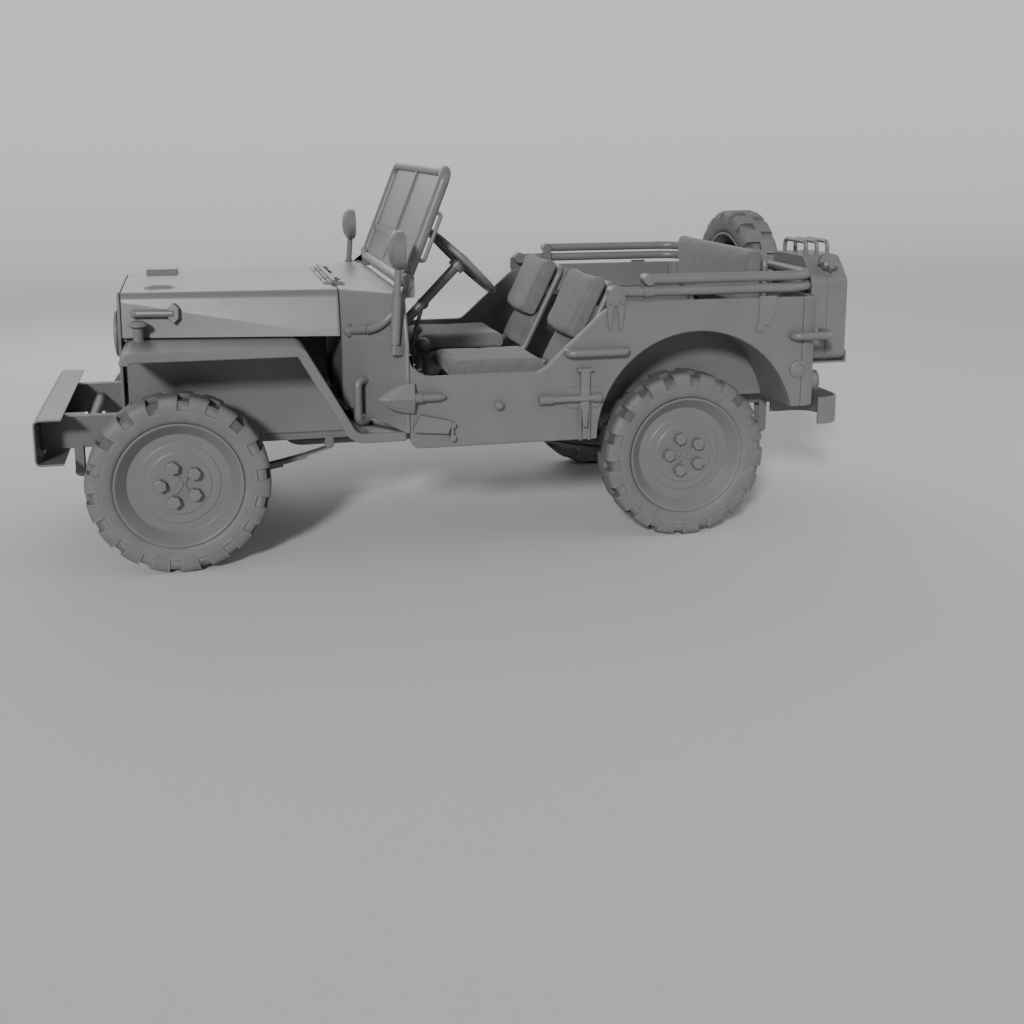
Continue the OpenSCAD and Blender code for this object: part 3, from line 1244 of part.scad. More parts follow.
module axe() translate([axe_x, body_y, axe_z]) {
  along_y(0, axe_size.y) polygon(rounded([for (a = axe_shares) [a[0]*axe_size.x, a[1]*axe_size.z, axe_round]]));
  translate([-axe_size.x, 0, axe_size.z*0.4]) {
    for (z = [0, -clasp_drop]) translate([0, 0, z]) bar_y(clasp_r, 0, axe_size.y*0.8);
    translate([0, axe_size.y*0.5, 0]) bar_z(clasp_link_r, -clasp_drop, 0);
  }
}
module stud_knob() translate([cowl_rear_x - knob_back, body_y, knob_z]) rotate([-90, 0, 0]) rotate_extrude()
  polygon([[0, 0], [stud_knob_r*0.5, 0], [stud_knob_r*0.5, stud_knob_reach*0.3], [stud_knob_r, stud_knob_reach*0.45],
    [stud_knob_r, stud_knob_reach*0.75], [stud_knob_r*0.6, stud_knob_reach], [0, stud_knob_reach]]);
module tool_clamp() translate([clamp_x, body_y, clamp_z]) {
  y = clamp_plate.y - over;
  along_y(0, clamp_plate.y) polygon(rounded([for (c = [[-1, -1], [1, -1], [1, 1], [-1, 1]])
    [c[0]*clamp_plate.x/2, c[1]*clamp_plate.z/2, clamp_plate_round]]));
  along_y(y, y + clamp_depth) {
    translate([-clamp_width/2, 0]) square([clamp_width, clamp_rise]);
    translate([-clamp_head.x/2, clamp_rise - clamp_head.y]) square(clamp_head);
    polygon([[-clamp_width/2, 0], [clamp_width/2, 0], [clamp_width/2*clamp_tip_share, -clamp_tail],
      [-clamp_width/2*clamp_tip_share, -clamp_tail]]);
  }
  translate([0, clamp_grip_r + seat_gap, 0]) {
    bar_x(clamp_bar_r, -clamp_bar_behind, clamp_bar_ahead);
    bar_x(clamp_grip_r, clamp_bar_ahead - clamp_grip_length, clamp_bar_ahead);
    bar_x(clamp_grip_r, -clamp_bar_behind, -clamp_width);
    for (s = [-1, 1]) translate([s*clamp_width/2, 0, 0]) bar_z(clamp_leg_r, -clamp_leg_low, -clamp_bar_r/2);
  }
}
module side_tools() color("darkgray") {
  shovel();
  axe();
  stud_knob();
  tool_clamp();
}

// Folding-top bows: two hoops round the rear of the body, the second pinned to the first
bow_r = 20;
bow_y = 765;
bow_rise = 36;
bow_z = rim_z + bow_rise;
bow_pitch = 48;
bow_pivot_back = 300;
bow_pivot_x = door_rear_x - bow_pivot_back;
bow_tail_gap = 14;
bow_rear_x = tail_x + bow_tail_gap;
bow_bend = 120;
second_back = 140;
second_x = bow_pivot_x - second_back;
bow_pin_r = 9;
bow_eye_r = 26;
bow_eye_wall = 44;
clamp_wall = 14;
bracket_wall = 10;
bracket_width = 76;
bracket_band = 12;
bracket_leg = 96;
bracket_leg_width = 32;
strap_ahead = 195;
strap_width = 75;
strap_wall = 7;
strap_rise = 8;
strap_drop = 106;
buckle = 32;
bow_eye_in = bow_y - bow_eye_wall/2;
module bow_hoop(x, z) both() tube_run([[x, bow_y, z], [bow_rear_x, bow_y, z], [bow_rear_x, 0, z]], bow_r, bow_bend);
module bow_main() color("gray") difference() {
  union() {
    bow_hoop(bow_pivot_x, bow_z);
    both() {
      translate([bow_pivot_x, 0, bow_z]) bar_y(bow_eye_r, bow_eye_in, bow_y + bow_eye_wall/2);
      translate([second_x, 0, bow_z + bow_pitch]) {
        bar_y(bow_pin_r, bow_eye_in - clamp_wall, bow_y + bow_eye_wall/2);
        bar_y(bow_eye_r - over*2, bow_eye_in - clamp_wall - seat_gap, bow_eye_in - seat_gap);
      }
      translate([second_x, 0, bow_z]) block([-bow_r, bow_eye_in - clamp_wall - seat_gap, -bow_r],
        [bow_r, bow_eye_in - seat_gap, bow_pitch]);
      translate([second_x, bow_y, bow_z]) bar_x(bow_r + over*2, -bow_r, bow_r);
    }
  }
  both() translate([bow_pivot_x, 0, bow_z]) bar_y(bow_pin_r + run_gap, bow_eye_in - over, bow_y + bow_eye_wall);
}
module bow_second() color("gray") difference() {
  union() {
    bow_hoop(second_x, bow_z + bow_pitch);
    both() translate([second_x, 0, bow_z + bow_pitch]) bar_y(bow_eye_r - over*2, bow_eye_in, bow_y + bow_eye_wall/2);
  }
  both() translate([second_x, 0, bow_z + bow_pitch]) bar_y(bow_pin_r + run_gap, bow_eye_in - over, bow_y + bow_eye_wall);
}
module bow_brackets() color("dimgray") both() {
  along_y(body_y, body_y + bracket_wall) {
    translate([bow_pivot_x - bracket_width/2, rim_z - bracket_band]) square([bracket_width, bow_z - rim_z + bracket_band]);
    for (s = [0, 1]) mirror([s, 0]) translate([bow_pivot_x*(s > 0 ? -1 : 1) + bracket_width/2, rim_z - bracket_band])
      polygon([[0, over], [-bracket_leg_width, over], [-bracket_leg_width*0.6, -bracket_leg], [-bracket_leg_width*0.35, -bracket_leg]]);
    translate([bow_pivot_x, bow_z]) circle(r = bow_eye_r);
  }
  translate([bow_pivot_x, 0, bow_z]) bar_y(bow_pin_r, bow_eye_in, body_y + over);
  // Strap that ties the bows down, with its buckle
  translate([tail_x + strap_ahead, 0, rim_z]) along_y(body_y, body_y + strap_wall) {
    polygon([[0, strap_rise], [strap_width, strap_rise], [strap_width, -strap_drop], [strap_width*0.4, -strap_drop*1.05], [strap_width*0.1, -strap_drop*0.6]]);
    translate([strap_width - buckle*0.8, -strap_drop - buckle*0.9]) square(buckle);
  }
}

frame();
cross_members();
front_bumper();
rear_bumperettes();
floor();
body_side_left();
body_side_right();
rear_panel();
wheel_housings();
cowl();
grille();
lamps();
fender_left();
fender_right();
engine();
radiator();
drivetrain();
exhaust();
front_axle();
rear_axle();
leaf_springs();
steering_column();
seat_frames();
driver_cushions();
passenger_cushions();
rear_cushions();
control_levers();
mirrors();
grab_handles();
side_tools();
bow_brackets();
spare_disc();
spare_tyre();
fuel_can();
rear_carriers();
hood();
windscreen_frame();
windscreen_panes();
steering_wheel();
knuckle_left();
knuckle_right();
tie_rod();
disc_front_left();
disc_front_right();
disc_rear_left();
disc_rear_right();
tyre_front_left();
tyre_front_right();
tyre_rear_left();
tyre_rear_right();
bow_main();
bow_second();
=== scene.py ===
import json
import math

import bpy
from mathutils import Euler, Matrix, Vector


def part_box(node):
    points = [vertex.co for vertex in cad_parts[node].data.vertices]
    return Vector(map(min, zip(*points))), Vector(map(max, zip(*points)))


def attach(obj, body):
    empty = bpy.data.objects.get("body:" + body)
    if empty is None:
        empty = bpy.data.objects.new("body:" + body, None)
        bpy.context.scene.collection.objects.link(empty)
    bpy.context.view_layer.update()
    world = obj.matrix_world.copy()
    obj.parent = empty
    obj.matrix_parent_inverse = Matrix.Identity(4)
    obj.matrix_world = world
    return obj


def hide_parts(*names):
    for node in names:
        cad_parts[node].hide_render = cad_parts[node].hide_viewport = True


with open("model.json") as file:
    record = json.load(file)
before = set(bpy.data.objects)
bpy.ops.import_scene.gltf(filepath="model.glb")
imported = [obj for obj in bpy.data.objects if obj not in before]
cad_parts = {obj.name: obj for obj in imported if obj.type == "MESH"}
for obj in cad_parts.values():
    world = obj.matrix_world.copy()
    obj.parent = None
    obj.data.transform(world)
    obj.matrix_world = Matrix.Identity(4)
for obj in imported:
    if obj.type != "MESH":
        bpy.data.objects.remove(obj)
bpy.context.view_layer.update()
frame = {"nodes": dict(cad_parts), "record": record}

MM = 0.001


# Objects, selection and edit mode
def linked(name, data):
    """A new object in the scene with this data."""
    made = bpy.data.objects.new(name, data)
    bpy.context.scene.collection.objects.link(made)
    return made


def only(piece):
    """Deselects everything else and makes this piece the active one."""
    bpy.ops.object.select_all(action="DESELECT")
    piece.select_set(True)
    bpy.context.view_layer.objects.active = piece


def editing(piece, select="SELECT"):
    """Opens the piece in edit mode with everything selected, or nothing."""
    only(piece)
    bpy.ops.object.mode_set(mode="EDIT")
    bpy.ops.mesh.select_all(action=select)


def done():
    bpy.ops.object.mode_set(mode="OBJECT")


def picking(piece, kind, wanted):
    """Opens the piece in edit mode with only the wanted vertices, edges or polygons selected."""
    editing(piece, "DESELECT")
    done()
    for element in getattr(piece.data, kind):
        element.select = wanted(element)
    bpy.ops.object.mode_set(mode="EDIT")


def pressed(piece, kind, **settings):
    """Adds a modifier with these settings and applies it."""
    only(piece)
    modifier = piece.modifiers.new(kind.lower(), kind)
    for key, value in settings.items():
        setattr(modifier, key, value)
    bpy.ops.object.modifier_apply(modifier=modifier.name)


def smooth(piece, angle=35):
    """Shades edges flatter than this many degrees as smooth."""
    only(piece)
    bpy.ops.object.shade_smooth_by_angle(angle=math.radians(angle))


def seated(piece):
    """Puts the piece's place, turn and size into its mesh."""
    only(piece)
    bpy.ops.object.transform_apply(location=True, rotation=True, scale=True)
    return piece


# Finishes: sizes of spots and threads and depths of relief are in metres
def shader(name, colour, roughness):
    finish = bpy.data.materials.new(name)
    finish.use_nodes = True
    face = finish.node_tree.nodes["Principled BSDF"]
    face.inputs["Base Color"].default_value = (*colour, 1)
    face.inputs["Roughness"].default_value = roughness
    return finish, finish.node_tree, face


def place(tree):
    """Object coordinates."""
    return tree.nodes.new("ShaderNodeTexCoord").outputs["Object"]


def grain(tree, where, size, detail):
    """Noise with spots of about this size."""
    noise = tree.nodes.new("ShaderNodeTexNoise")
    noise.inputs["Scale"].default_value = 1 / size
    noise.inputs["Detail"].default_value = detail
    tree.links.new(where, noise.inputs["Vector"])
    return noise.outputs["Fac"]


def shades(tree, amount, dark, light, socket):
    """Colours a socket between two shades by an amount."""
    ramp = tree.nodes.new("ShaderNodeValToRGB")
    for stop, position, shade in zip(ramp.color_ramp.elements, (0.3, 0.7), (dark, light)):
        stop.position = position
        stop.color = (*shade, 1)
    tree.links.new(amount, ramp.inputs["Fac"])
    tree.links.new(ramp.outputs["Color"], socket)


def between(tree, amount, low, high, socket):
    """Sends an amount from 0 to 1 to a socket as low to high."""
    span = tree.nodes.new("ShaderNodeMapRange")
    span.inputs["To Min"].default_value = low
    span.inputs["To Max"].default_value = high
    tree.links.new(amount, span.inputs["Value"])
    tree.links.new(span.outputs["Result"], socket)


def relief(tree, face, heights, depth, strength):
    """Bump from the sum of these heights, each with its weight."""
    total = None
    for height, weight in heights:
        scaled = tree.nodes.new("ShaderNodeMath")
        scaled.operation = "MULTIPLY"
        scaled.inputs[1].default_value = weight
        tree.links.new(height, scaled.inputs[0])
        if total is None:
            total = scaled.outputs["Value"]
            continue
        added = tree.nodes.new("ShaderNodeMath")
        added.operation = "ADD"
        tree.links.new(total, added.inputs[0])
        tree.links.new(scaled.outputs["Value"], added.inputs[1])
        total = added.outputs["Value"]
    bump = tree.nodes.new("ShaderNodeBump")
    bump.inputs["Distance"].default_value = depth
    bump.inputs["Strength"].default_value = strength
    tree.links.new(total, bump.inputs["Height"])
    tree.links.new(bump.outputs["Normal"], face.inputs["Normal"])


def grey(value):
    return (value, value, value * 1.01)


def satin_paint(name, value, roughness):
    """Sprayed satin paint: faint clouding, fine peel and uneven gloss."""
    finish, tree, face = shader(name, grey(value), roughness)
    where = place(tree)
    clouds = grain(tree, where, size=0.16, detail=4)
    gloss = grain(tree, where, size=0.05, detail=3)
    fine_peel = grain(tree, where, size=0.0022, detail=1)
    broad_peel = grain(tree, where, size=0.012, detail=2)
    shades(tree, clouds, grey(value * 0.93), grey(value * 1.06), face.inputs["Base Color"])
    between(tree, gloss, roughness - 0.06, roughness + 0.07, face.inputs["Roughness"])
    relief(tree, face, [(fine_peel, 0.6), (broad_peel, 1.0)], depth=0.0004, strength=0.25)
    return finish


def moulded_rubber(name, value):
    """Tyre rubber: a dull skin with dusty patches."""
    finish, tree, face = shader(name, grey(value), 0.62)
    where = place(tree)
    dust = grain(tree, where, size=0.05, detail=5)
    gloss = grain(tree, where, size=0.03, detail=3)
    pores = grain(tree, where, size=0.0016, detail=2)
    waves = grain(tree, where, size=0.02, detail=3)
    shades(tree, dust, grey(value * 0.9), grey(value * 1.08), face.inputs["Base Color"])
    between(tree, gloss, 0.52, 0.72, face.inputs["Roughness"])
    relief(tree, face, [(pores, 0.5), (waves, 1.0)], depth=0.0006, strength=0.35)
    return finish


def threads(tree, where, direction, pitch):
    """Parallel threads at this pitch."""
    wave = tree.nodes.new("ShaderNodeTexWave")
    wave.bands_direction = direction
    wave.inputs["Scale"].default_value = math.tau / (pitch * 20)
    wave.inputs["Distortion"].default_value = 0.6
    wave.inputs["Detail"].default_value = 1.0
    tree.links.new(where, wave.inputs["Vector"])
    return wave.outputs["Fac"]


def duck_canvas(name, value):
    """Woven canvas: crossing threads, slubs and a dull sheen."""
    finish, tree, face = shader(name, grey(value), 0.85)
    where = place(tree)
    face.inputs["Sheen Weight"].default_value = 0.15
    face.inputs["Sheen Roughness"].default_value = 0.5
    wear = grain(tree, where, size=0.035, detail=5)
    slubs = grain(tree, where, size=0.02, detail=3)
    weave = [(threads(tree, where, axis, pitch=0.0028), 1.0) for axis in "XYZ"]
    shades(tree, wear, grey(value * 0.9), grey(value * 1.07), face.inputs["Base Color"])
    relief(tree, face, weave + [(slubs, 2.0)], depth=0.0005, strength=0.4)
    return finish


def painted_glass(name, value):
    """Panes that are painted over, smoother than the sheet metal."""
    finish, tree, face = shader(name, grey(value), 0.32)
    where = place(tree)
    gloss = grain(tree, where, size=0.4, detail=1)
    clouds = grain(tree, where, size=0.3, detail=1)
    between(tree, gloss, 0.3, 0.35, face.inputs["Roughness"])
    shades(tree, clouds, grey(value * 0.96), grey(value * 1.04), face.inputs["Base Color"])
    return finish


BODY_GREY = 0.15
FINISHES = {
    "body_paint": satin_paint("body_paint", BODY_GREY, 0.36),
    "running_gear": satin_paint("running_gear", BODY_GREY * 0.86, 0.5),
    "tyre_rubber": moulded_rubber("tyre_rubber", BODY_GREY * 0.9),
    "canvas": duck_canvas("canvas", BODY_GREY * 0.98),
    "pane": painted_glass("pane", BODY_GREY * 0.85),
    "hand_wheel": satin_paint("hand_wheel", BODY_GREY * 0.95, 0.36),
    "lamp": satin_paint("lamp", BODY_GREY * 1.05, 0.3),
}
SLOT_OF = {part["node"]: part["material_slot"] for part in frame["record"]["subparts"]}
BODY_OF = {n: body for body, names in frame["record"]["behaviour"]["bodies"].items() for n in names}


def carried(piece, body, slot, *replaced):
    """The piece rides on a body in its slot's finish and stands for the replaced nodes."""
    piece.data.materials.clear()
    piece.data.materials.append(FINISHES[slot])
    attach(piece, body)
    if replaced:
        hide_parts(*replaced)


def stands_for(piece, node):
    carried(piece, BODY_OF[node], SLOT_OF[node], node)


# Every node takes its slot's finish
for name, node in frame["nodes"].items():
    node.data.materials.clear()
    node.data.materials.append(FINISHES[SLOT_OF[name]])


# Sheet and cast pieces: a welded copy of the node, with its edges rounded, stands for it
WELD = 0.02 * MM
COARSE_WELD = 0.5 * MM
FLAT = math.radians(0.6)
SHARP = math.radians(40)
SMOOTH_UNDER = 40
SPARED_SMOOTH_UNDER = 34
# Bevel widths in millimetres
EDGES = {
    "body_side_left": 7, "body_side_right": 7, "rear_panel": 6, "fender_left": 6, "fender_right": 6,
    "front_bumper": 3, "rear_bumperettes": 4, "grille": 3, "cowl": 4, "hood": 3, "fuel_can": 4,
    "floor": 3, "frame": 3, "wheel_housings": 3, "engine": 6, "rear_carriers": 2, "side_tools": 2,
    "bow_brackets": 2,
}
# Boxes in millimetres: the bump on the hood and the handles of the can keep their own soft outlines
SPARED = {
    "hood": ((1090, 1240), (195, 305), (1030, 1070)),
    "fuel_can": ((-1640, -1460), (255, 670), (1160, 1230)),
}


def inside(point, box):
    return box is not None and all(low * MM < p < high * MM for p, (low, high) in zip(point, box))


def merged_copy(node, name, spared=None):
    """A welded copy of a node's mesh with its flat faces joined; the spared box is welded more coarsely."""
    piece = linked(name, frame["nodes"][node].data.copy())
    editing(piece)
    bpy.ops.mesh.remove_doubles(threshold=WELD)
    done()
    picking(piece, "vertices", lambda vertex: inside(vertex.co, spared))
    bpy.ops.mesh.remove_doubles(threshold=COARSE_WELD)
    bpy.ops.mesh.select_all(action="SELECT")
    bpy.ops.mesh.dissolve_limited(angle_limit=FLAT)
    done()
    return piece


def rounded_edges(node, width, spared=None):
    """Rounds the sharp edges, apart from those that reach into the spared box."""
    piece = merged_copy(node, node + "_finished", spared)
    editing(piece, "DESELECT")
    bpy.ops.mesh.select_mode(type="EDGE")
    bpy.ops.mesh.edges_select_sharp(sharpness=SHARP)
    done()
    kept = {vertex.index for vertex in piece.data.vertices if inside(vertex.co, spared)}
    sharp = {edge.index for edge in piece.data.edges if edge.select and kept.isdisjoint(edge.vertices)}
    picking(piece, "edges", lambda edge: edge.index in sharp)
    bpy.ops.mesh.bevel(offset=width * MM, segments=2, clamp_overlap=False, miter_outer="ARC")
    bpy.ops.mesh.select_mode(type="VERT")
    done()
    smooth(piece, SMOOTH_UNDER if spared is None else SPARED_SMOOTH_UNDER)
    pressed(piece, "WEIGHTED_NORMAL", keep_sharp=True, weight=80)
    stands_for(piece, node)


for node, width in EDGES.items():
    rounded_edges(node, width, SPARED.get(node))


# Cushions: rounded, shrunk, blown up again as cloth, then seamed
PAD_ROUND = 14 * MM
PAD_SHRINK = 8 * MM
PAD_SWELL = 9 * MM
PAD_VOXEL = 8 * MM
PAD_PRESSURE = 4
PAD_FRAMES = 20
SEAM_IN = 20 * MM
SEAM_HALF = 4 * MM
SEAM_DEPTH = 3 * MM


def blown_up(pad):
    """Fills the pad as cloth under pressure, each point moving no further than the swell."""
    start = [vertex.co.copy() for vertex in pad.data.vertices]
    only(pad)
    cloth = pad.modifiers.new("cloth", "CLOTH")
    cloth.settings.quality = 4
    cloth.settings.use_pressure = True
    cloth.settings.uniform_pressure_force = PAD_PRESSURE
    cloth.settings.effector_weights.gravity = 0
    cloth.point_cache.frame_end = PAD_FRAMES
    for moment in range(1, PAD_FRAMES + 1):
        bpy.context.scene.frame_set(moment)
    bpy.ops.object.modifier_apply(modifier=cloth.name)
    bpy.context.scene.frame_set(1)
    for vertex, before in zip(pad.data.vertices, start):
        step = vertex.co - before
        if step.length > PAD_SWELL:
            vertex.co = before + step.normalized() * PAD_SWELL


def seamed(pad, low, high):
    """Presses a sewn seam into the pad near each end."""
    seams = (low + SEAM_IN, high - SEAM_IN)
    picking(pad, "vertices", lambda vertex: min(abs(vertex.co.y - seam) for seam in seams) < SEAM_HALF)
    bpy.ops.transform.shrink_fatten(value=-SEAM_DEPTH)
    done()


def stuffed(node):
    """A sewn and padded cushion in a node's place."""
    pad = merged_copy(node, node + "_sewn")
    pressed(pad, "BEVEL", width=PAD_ROUND, segments=3, limit_method="ANGLE", angle_limit=math.radians(60),
            use_clamp_overlap=False)
    editing(pad)
    bpy.ops.mesh.normals_make_consistent(inside=False)
    bpy.ops.transform.shrink_fatten(value=-PAD_SHRINK)
    done()
    pad.data.remesh_voxel_size = PAD_VOXEL
    bpy.ops.object.voxel_remesh()
    blown_up(pad)
    low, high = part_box(node)
    seamed(pad, low[1], high[1])
    pressed(pad, "SUBSURF", levels=1, render_levels=1)
    bpy.ops.object.shade_smooth()
    stands_for(pad, node)
    return pad


driver_pads = stuffed("driver_cushions")
stuffed("rear_cushions")
# The passenger's cushions are the driver's, moved across
passenger_pads = linked("passenger_cushions_sewn", driver_pads.data.copy())
passenger_pads.location.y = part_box("passenger_cushions")[0][1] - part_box("driver_cushions")[0][1]
seated(passenger_pads)
stands_for(passenger_pads, "passenger_cushions")


# Small fittings, in millimetres: each kind is modelled once at the origin, facing up, then copied
FACING = {
    "up": (0, 0), "down": (180, 0), "left": (-90, 0), "right": (90, 0), "ahead": (0, 90), "back": (0, -90),
}


def at(x, y, z, facing="up"):
    """A place, turned to face this way."""
    about_x, about_y = FACING[facing]
    turn = Euler((math.radians(about_x), math.radians(about_y), 0))
    return Matrix.LocRotScale(Vector((x, y, z)) * MM, turn, None)


def sides(x, y, z):
    """The same place on the left and the right, facing outwards."""
    return [at(x, y, z, "left"), at(x, -y, z, "right")]


def pair(x, y, z, facing):
    """The same place on the right and the left, facing one way."""
    return [at(x, -y, z, facing), at(x, y, z, facing)]


def turned(degrees):
    """A turn about the upright axis."""
    return Matrix.Rotation(math.radians(degrees), 4, "Z")


def middle(node):
    """The middle of a CAD node's box."""
    return [(low + high) / 2 / MM for low, high in zip(*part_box(node))]


def cylinder(radius, rise, corners):
    """A cylinder that stands on the origin."""
    bpy.ops.object.select_all(action="DESELECT")
    bpy.ops.mesh.primitive_cylinder_add(vertices=corners, radius=radius * MM, depth=rise * MM,
                                        location=(0, 0, rise / 2 * MM))
    return seated(bpy.context.active_object)


def box_of(size, centre):
    bpy.ops.object.select_all(action="DESELECT")
    bpy.ops.mesh.primitive_cube_add(size=1, location=Vector(centre) * MM, scale=Vector(size) * MM)
    return seated(bpy.context.active_object)


def softened(piece, width, steps=2):
    """Rounds the piece's edges and shades it smooth."""
    pressed(piece, "BEVEL", width=width * MM, segments=steps, limit_method="ANGLE",
            angle_limit=math.radians(30))
    smooth(piece)
    pressed(piece, "WEIGHTED_NORMAL", keep_sharp=True, weight=80)
    return piece


def joined(first, *others):
    only(first)
    for other in others:
        other.select_set(True)
    if others:
        bpy.ops.object.join()
    return first


def copies(piece, name, places):
    """Copies the piece to each place, joins the copies and drops the pattern."""
    made = []
    for where in places:
        copy = linked(name, piece.data.copy())
        copy.matrix_world = where
        made.append(seated(copy))
    bpy.data.objects.remove(piece)
    return joined(*made)


def hex_bolt(across, rise):
    """A bolt head on its washer."""
    washer = cylinder(across * 0.72, rise * 0.25, 20)
    head = softened(cylinder(across / 2, rise, 6), across * 0.07)
    return joined(softened(head, across * 0.03), washer)


def round_head(radius, rise):
    return softened(cylinder(radius, rise, 16), rise * 0.7, 3)


def dished(radius, rise, rim, depth, corners=40):
    """A round plate with a raised rim: the top face inset, then pushed in."""
    piece = cylinder(radius, rise, corners)
    picking(piece, "polygons", lambda face: face.normal.z > 0.9)
    bpy.ops.mesh.inset(thickness=rim * MM)
    bpy.ops.mesh.extrude_region_move(TRANSFORM_OT_translate={"value": (0, 0, -depth * MM)})
    done()
    return softened(piece, min(rim, rise) * 0.2)


def wire(name, points, radius):
    """A round wire along these points."""
    path = bpy.data.curves.new(name, "CURVE")
    path.dimensions = "3D"
    path.bevel_depth = radius * MM
    path.bevel_resolution = 2
    path.use_fill_caps = True
    line = path.splines.new("POLY")
    line.points.add(len(points) - 1)
    for spot, point in zip(line.points, points):
        spot.co = (*(Vector(point) * MM), 1)
    piece = linked(name, path)
    only(piece)
    bpy.ops.object.convert(target="MESH")
    smooth(piece, 60)
    return bpy.context.active_object


# Wheels: tyre and disc are modelled once at the origin, outer side up, then copied to the five wheels
WHEEL_FACING = {
    "front_left": "left", "front_right": "right", "rear_left": "left", "rear_right": "right", "spare": "back",
}
LUGS = 18
LUG_STEPS = 8
# Half outline of the tyre as radius and distance from the middle
TYRE_OUTLINE = [
    (208.6, 41), (241.6, 66.5), (247, 73), (258, 76.5), (280, 78.5), (302, 79), (320, 77.5),
    (333, 73), (340, 66), (343.5, 54), (344, 40),
]
# Cutters between the lugs, each with its size and its distances from the axle and from the tyre's middle
GROOVE_CUTTERS = [("across", (40, 43, 90), 346, 55), ("shoulder", (70, 43, 30), 326, 88.5)]
# The lugs of the two sides are half a pitch apart
GROOVE_STARTS = {1: 0.25, -1: 0.75}
# Outline of the rim, disc and drum, with the deep sloping wall that shows as a dark ring in the photo
DISC_OUTLINE = [
    (0, 41.5), (0, 38.2), (22.1, 38.2), (22.1, -12), (128, -12), (128, 20), (184, 22), (195, 12),
    (198, -42), (231, -75), (241, -75), (241, -68), (208, -42), (208, 42), (241, 68), (241, 75),
    (233, 75), (226, 68), (193, 32), (156, 32), (154, 35), (122, 35), (119.5, 38), (60, 39),
]
DISC_STEPS = 96
DISC_FACE = 39
STUDS = 5
STUD_CIRCLE = 69.85
STAR_TURN = 18


def spun(name, outline, steps):
    """Spins a closed outline of radius and height round the upright axis."""
    mesh = bpy.data.meshes.new(name)
    corners = [(radius * MM, 0, height * MM) for radius, height in outline]
    rim = [(i, (i + 1) % len(corners)) for i in range(len(corners))]
    mesh.from_pydata(corners, rim, [])
    piece = linked(name, mesh)
    editing(piece)
    bpy.ops.mesh.spin(steps=steps, angle=math.tau, center=(0, 0, 0), axis=(0, 0, 1))
    bpy.ops.mesh.select_all(action="SELECT")
    bpy.ops.mesh.remove_doubles(threshold=0.01 * MM)
    bpy.ops.mesh.normals_make_consistent(inside=False)
    done()
    return piece


def tyre():
    whole = [(r, -h) for r, h in TYRE_OUTLINE] + [(r, h) for r, h in reversed(TYRE_OUTLINE)]
    body = spun("tyre", whole, LUGS * LUG_STEPS)
    for side, start in GROOVE_STARTS.items():
        turns = [turned((i + start) * 360 / LUGS) for i in range(LUGS)]
        for name, size, from_axle, from_middle in GROOVE_CUTTERS:
            cutter = copies(box_of(size, (from_axle, 0, side * from_middle)), name, turns)
            pressed(body, "BOOLEAN", object=cutter, operation="DIFFERENCE", solver="EXACT")
            bpy.data.objects.remove(cutter)
    pressed(body, "BEVEL", width=2.2 * MM, segments=2, limit_method="ANGLE", angle_limit=math.radians(38))
    pressed(body, "TRIANGULATE")
    smooth(body, 42)
    return body


def star():
    """A star with as many arms as studs: every other corner of a drum drawn in."""
    piece = cylinder(44, 7, STUDS * 2)

    def between_arms(vertex):
        angle = math.degrees(math.atan2(vertex.co.y, vertex.co.x))
        return round((angle - 90) * STUDS / 180) % 2 == 0

    picking(piece, "vertices", between_arms)
    bpy.ops.transform.resize(value=(0.5, 0.5, 1), center_override=(0, 0, 0))
    done()
    return softened(piece, 2.5)


def disc():
    plate = softened(spun("disc", DISC_OUTLINE, DISC_STEPS), 1.5)
    nut = softened(cylinder(26, 31, 6), 4)
    studs = [turned(360 * i / STUDS) @ at(STUD_CIRCLE, 0, DISC_FACE) for i in range(STUDS)]
    nuts = copies(nut, "nuts", studs)
    arms = copies(star(), "star", [turned(STAR_TURN) @ at(0, 0, DISC_FACE)])
    cap = copies(dished(15, 12, 3, 2, 24), "cap", [at(0, 0, DISC_FACE)])
    return joined(plate, nuts, arms, cap)


tyre_pattern = tyre()
disc_pattern = disc()
for wheel, facing in WHEEL_FACING.items():
    nodes = ("spare_tyre", "spare_disc") if wheel == "spare" else ("tyre_" + wheel, "disc_" + wheel)
    for node, pattern in zip(nodes, (tyre_pattern, disc_pattern)):
        copy = linked(node + "_finished", pattern.data.copy())
        copy.matrix_world = at(*middle(nodes[0]), facing)
        stands_for(seated(copy), node)
bpy.data.objects.remove(tyre_pattern)
bpy.data.objects.remove(disc_pattern)

# Screws of the hood hinge
HINGE_TOP = 1058
HINGE_LINE = 480.5
SCREW_OFF = 24
HOOD_SCREWS_Y = (30, 100, 205, 271)
COWL_SCREWS_Y = (152, 324)
hood_screws = [at(HINGE_LINE + SCREW_OFF, s * y, HINGE_TOP) for s in (-1, 1) for y in HOOD_SCREWS_Y]
carried(copies(round_head(7, 4), "hood_hinge_screws", hood_screws), "hood", "body_paint")
cowl_screws = [at(HINGE_LINE - SCREW_OFF, s * y, HINGE_TOP) for s in (-1, 1) for y in COWL_SCREWS_Y]
carried(copies(round_head(7, 4), "cowl_hinge_screws", cowl_screws), "chassis", "body_paint")

# Bolts of the bow brackets
BRACKET_X = -561.5
BRACKET_FACE = 797.5
BRACKET_Z = 1003
BRACKET_BOLT_OFF = 24
bracket_bolts = [
    *sides(BRACKET_X - BRACKET_BOLT_OFF, BRACKET_FACE, BRACKET_Z),
    *sides(BRACKET_X + BRACKET_BOLT_OFF, BRACKET_FACE, BRACKET_Z),
]
carried(copies(hex_bolt(17, 7), "bracket_bolts", bracket_bolts), "chassis", "body_paint")

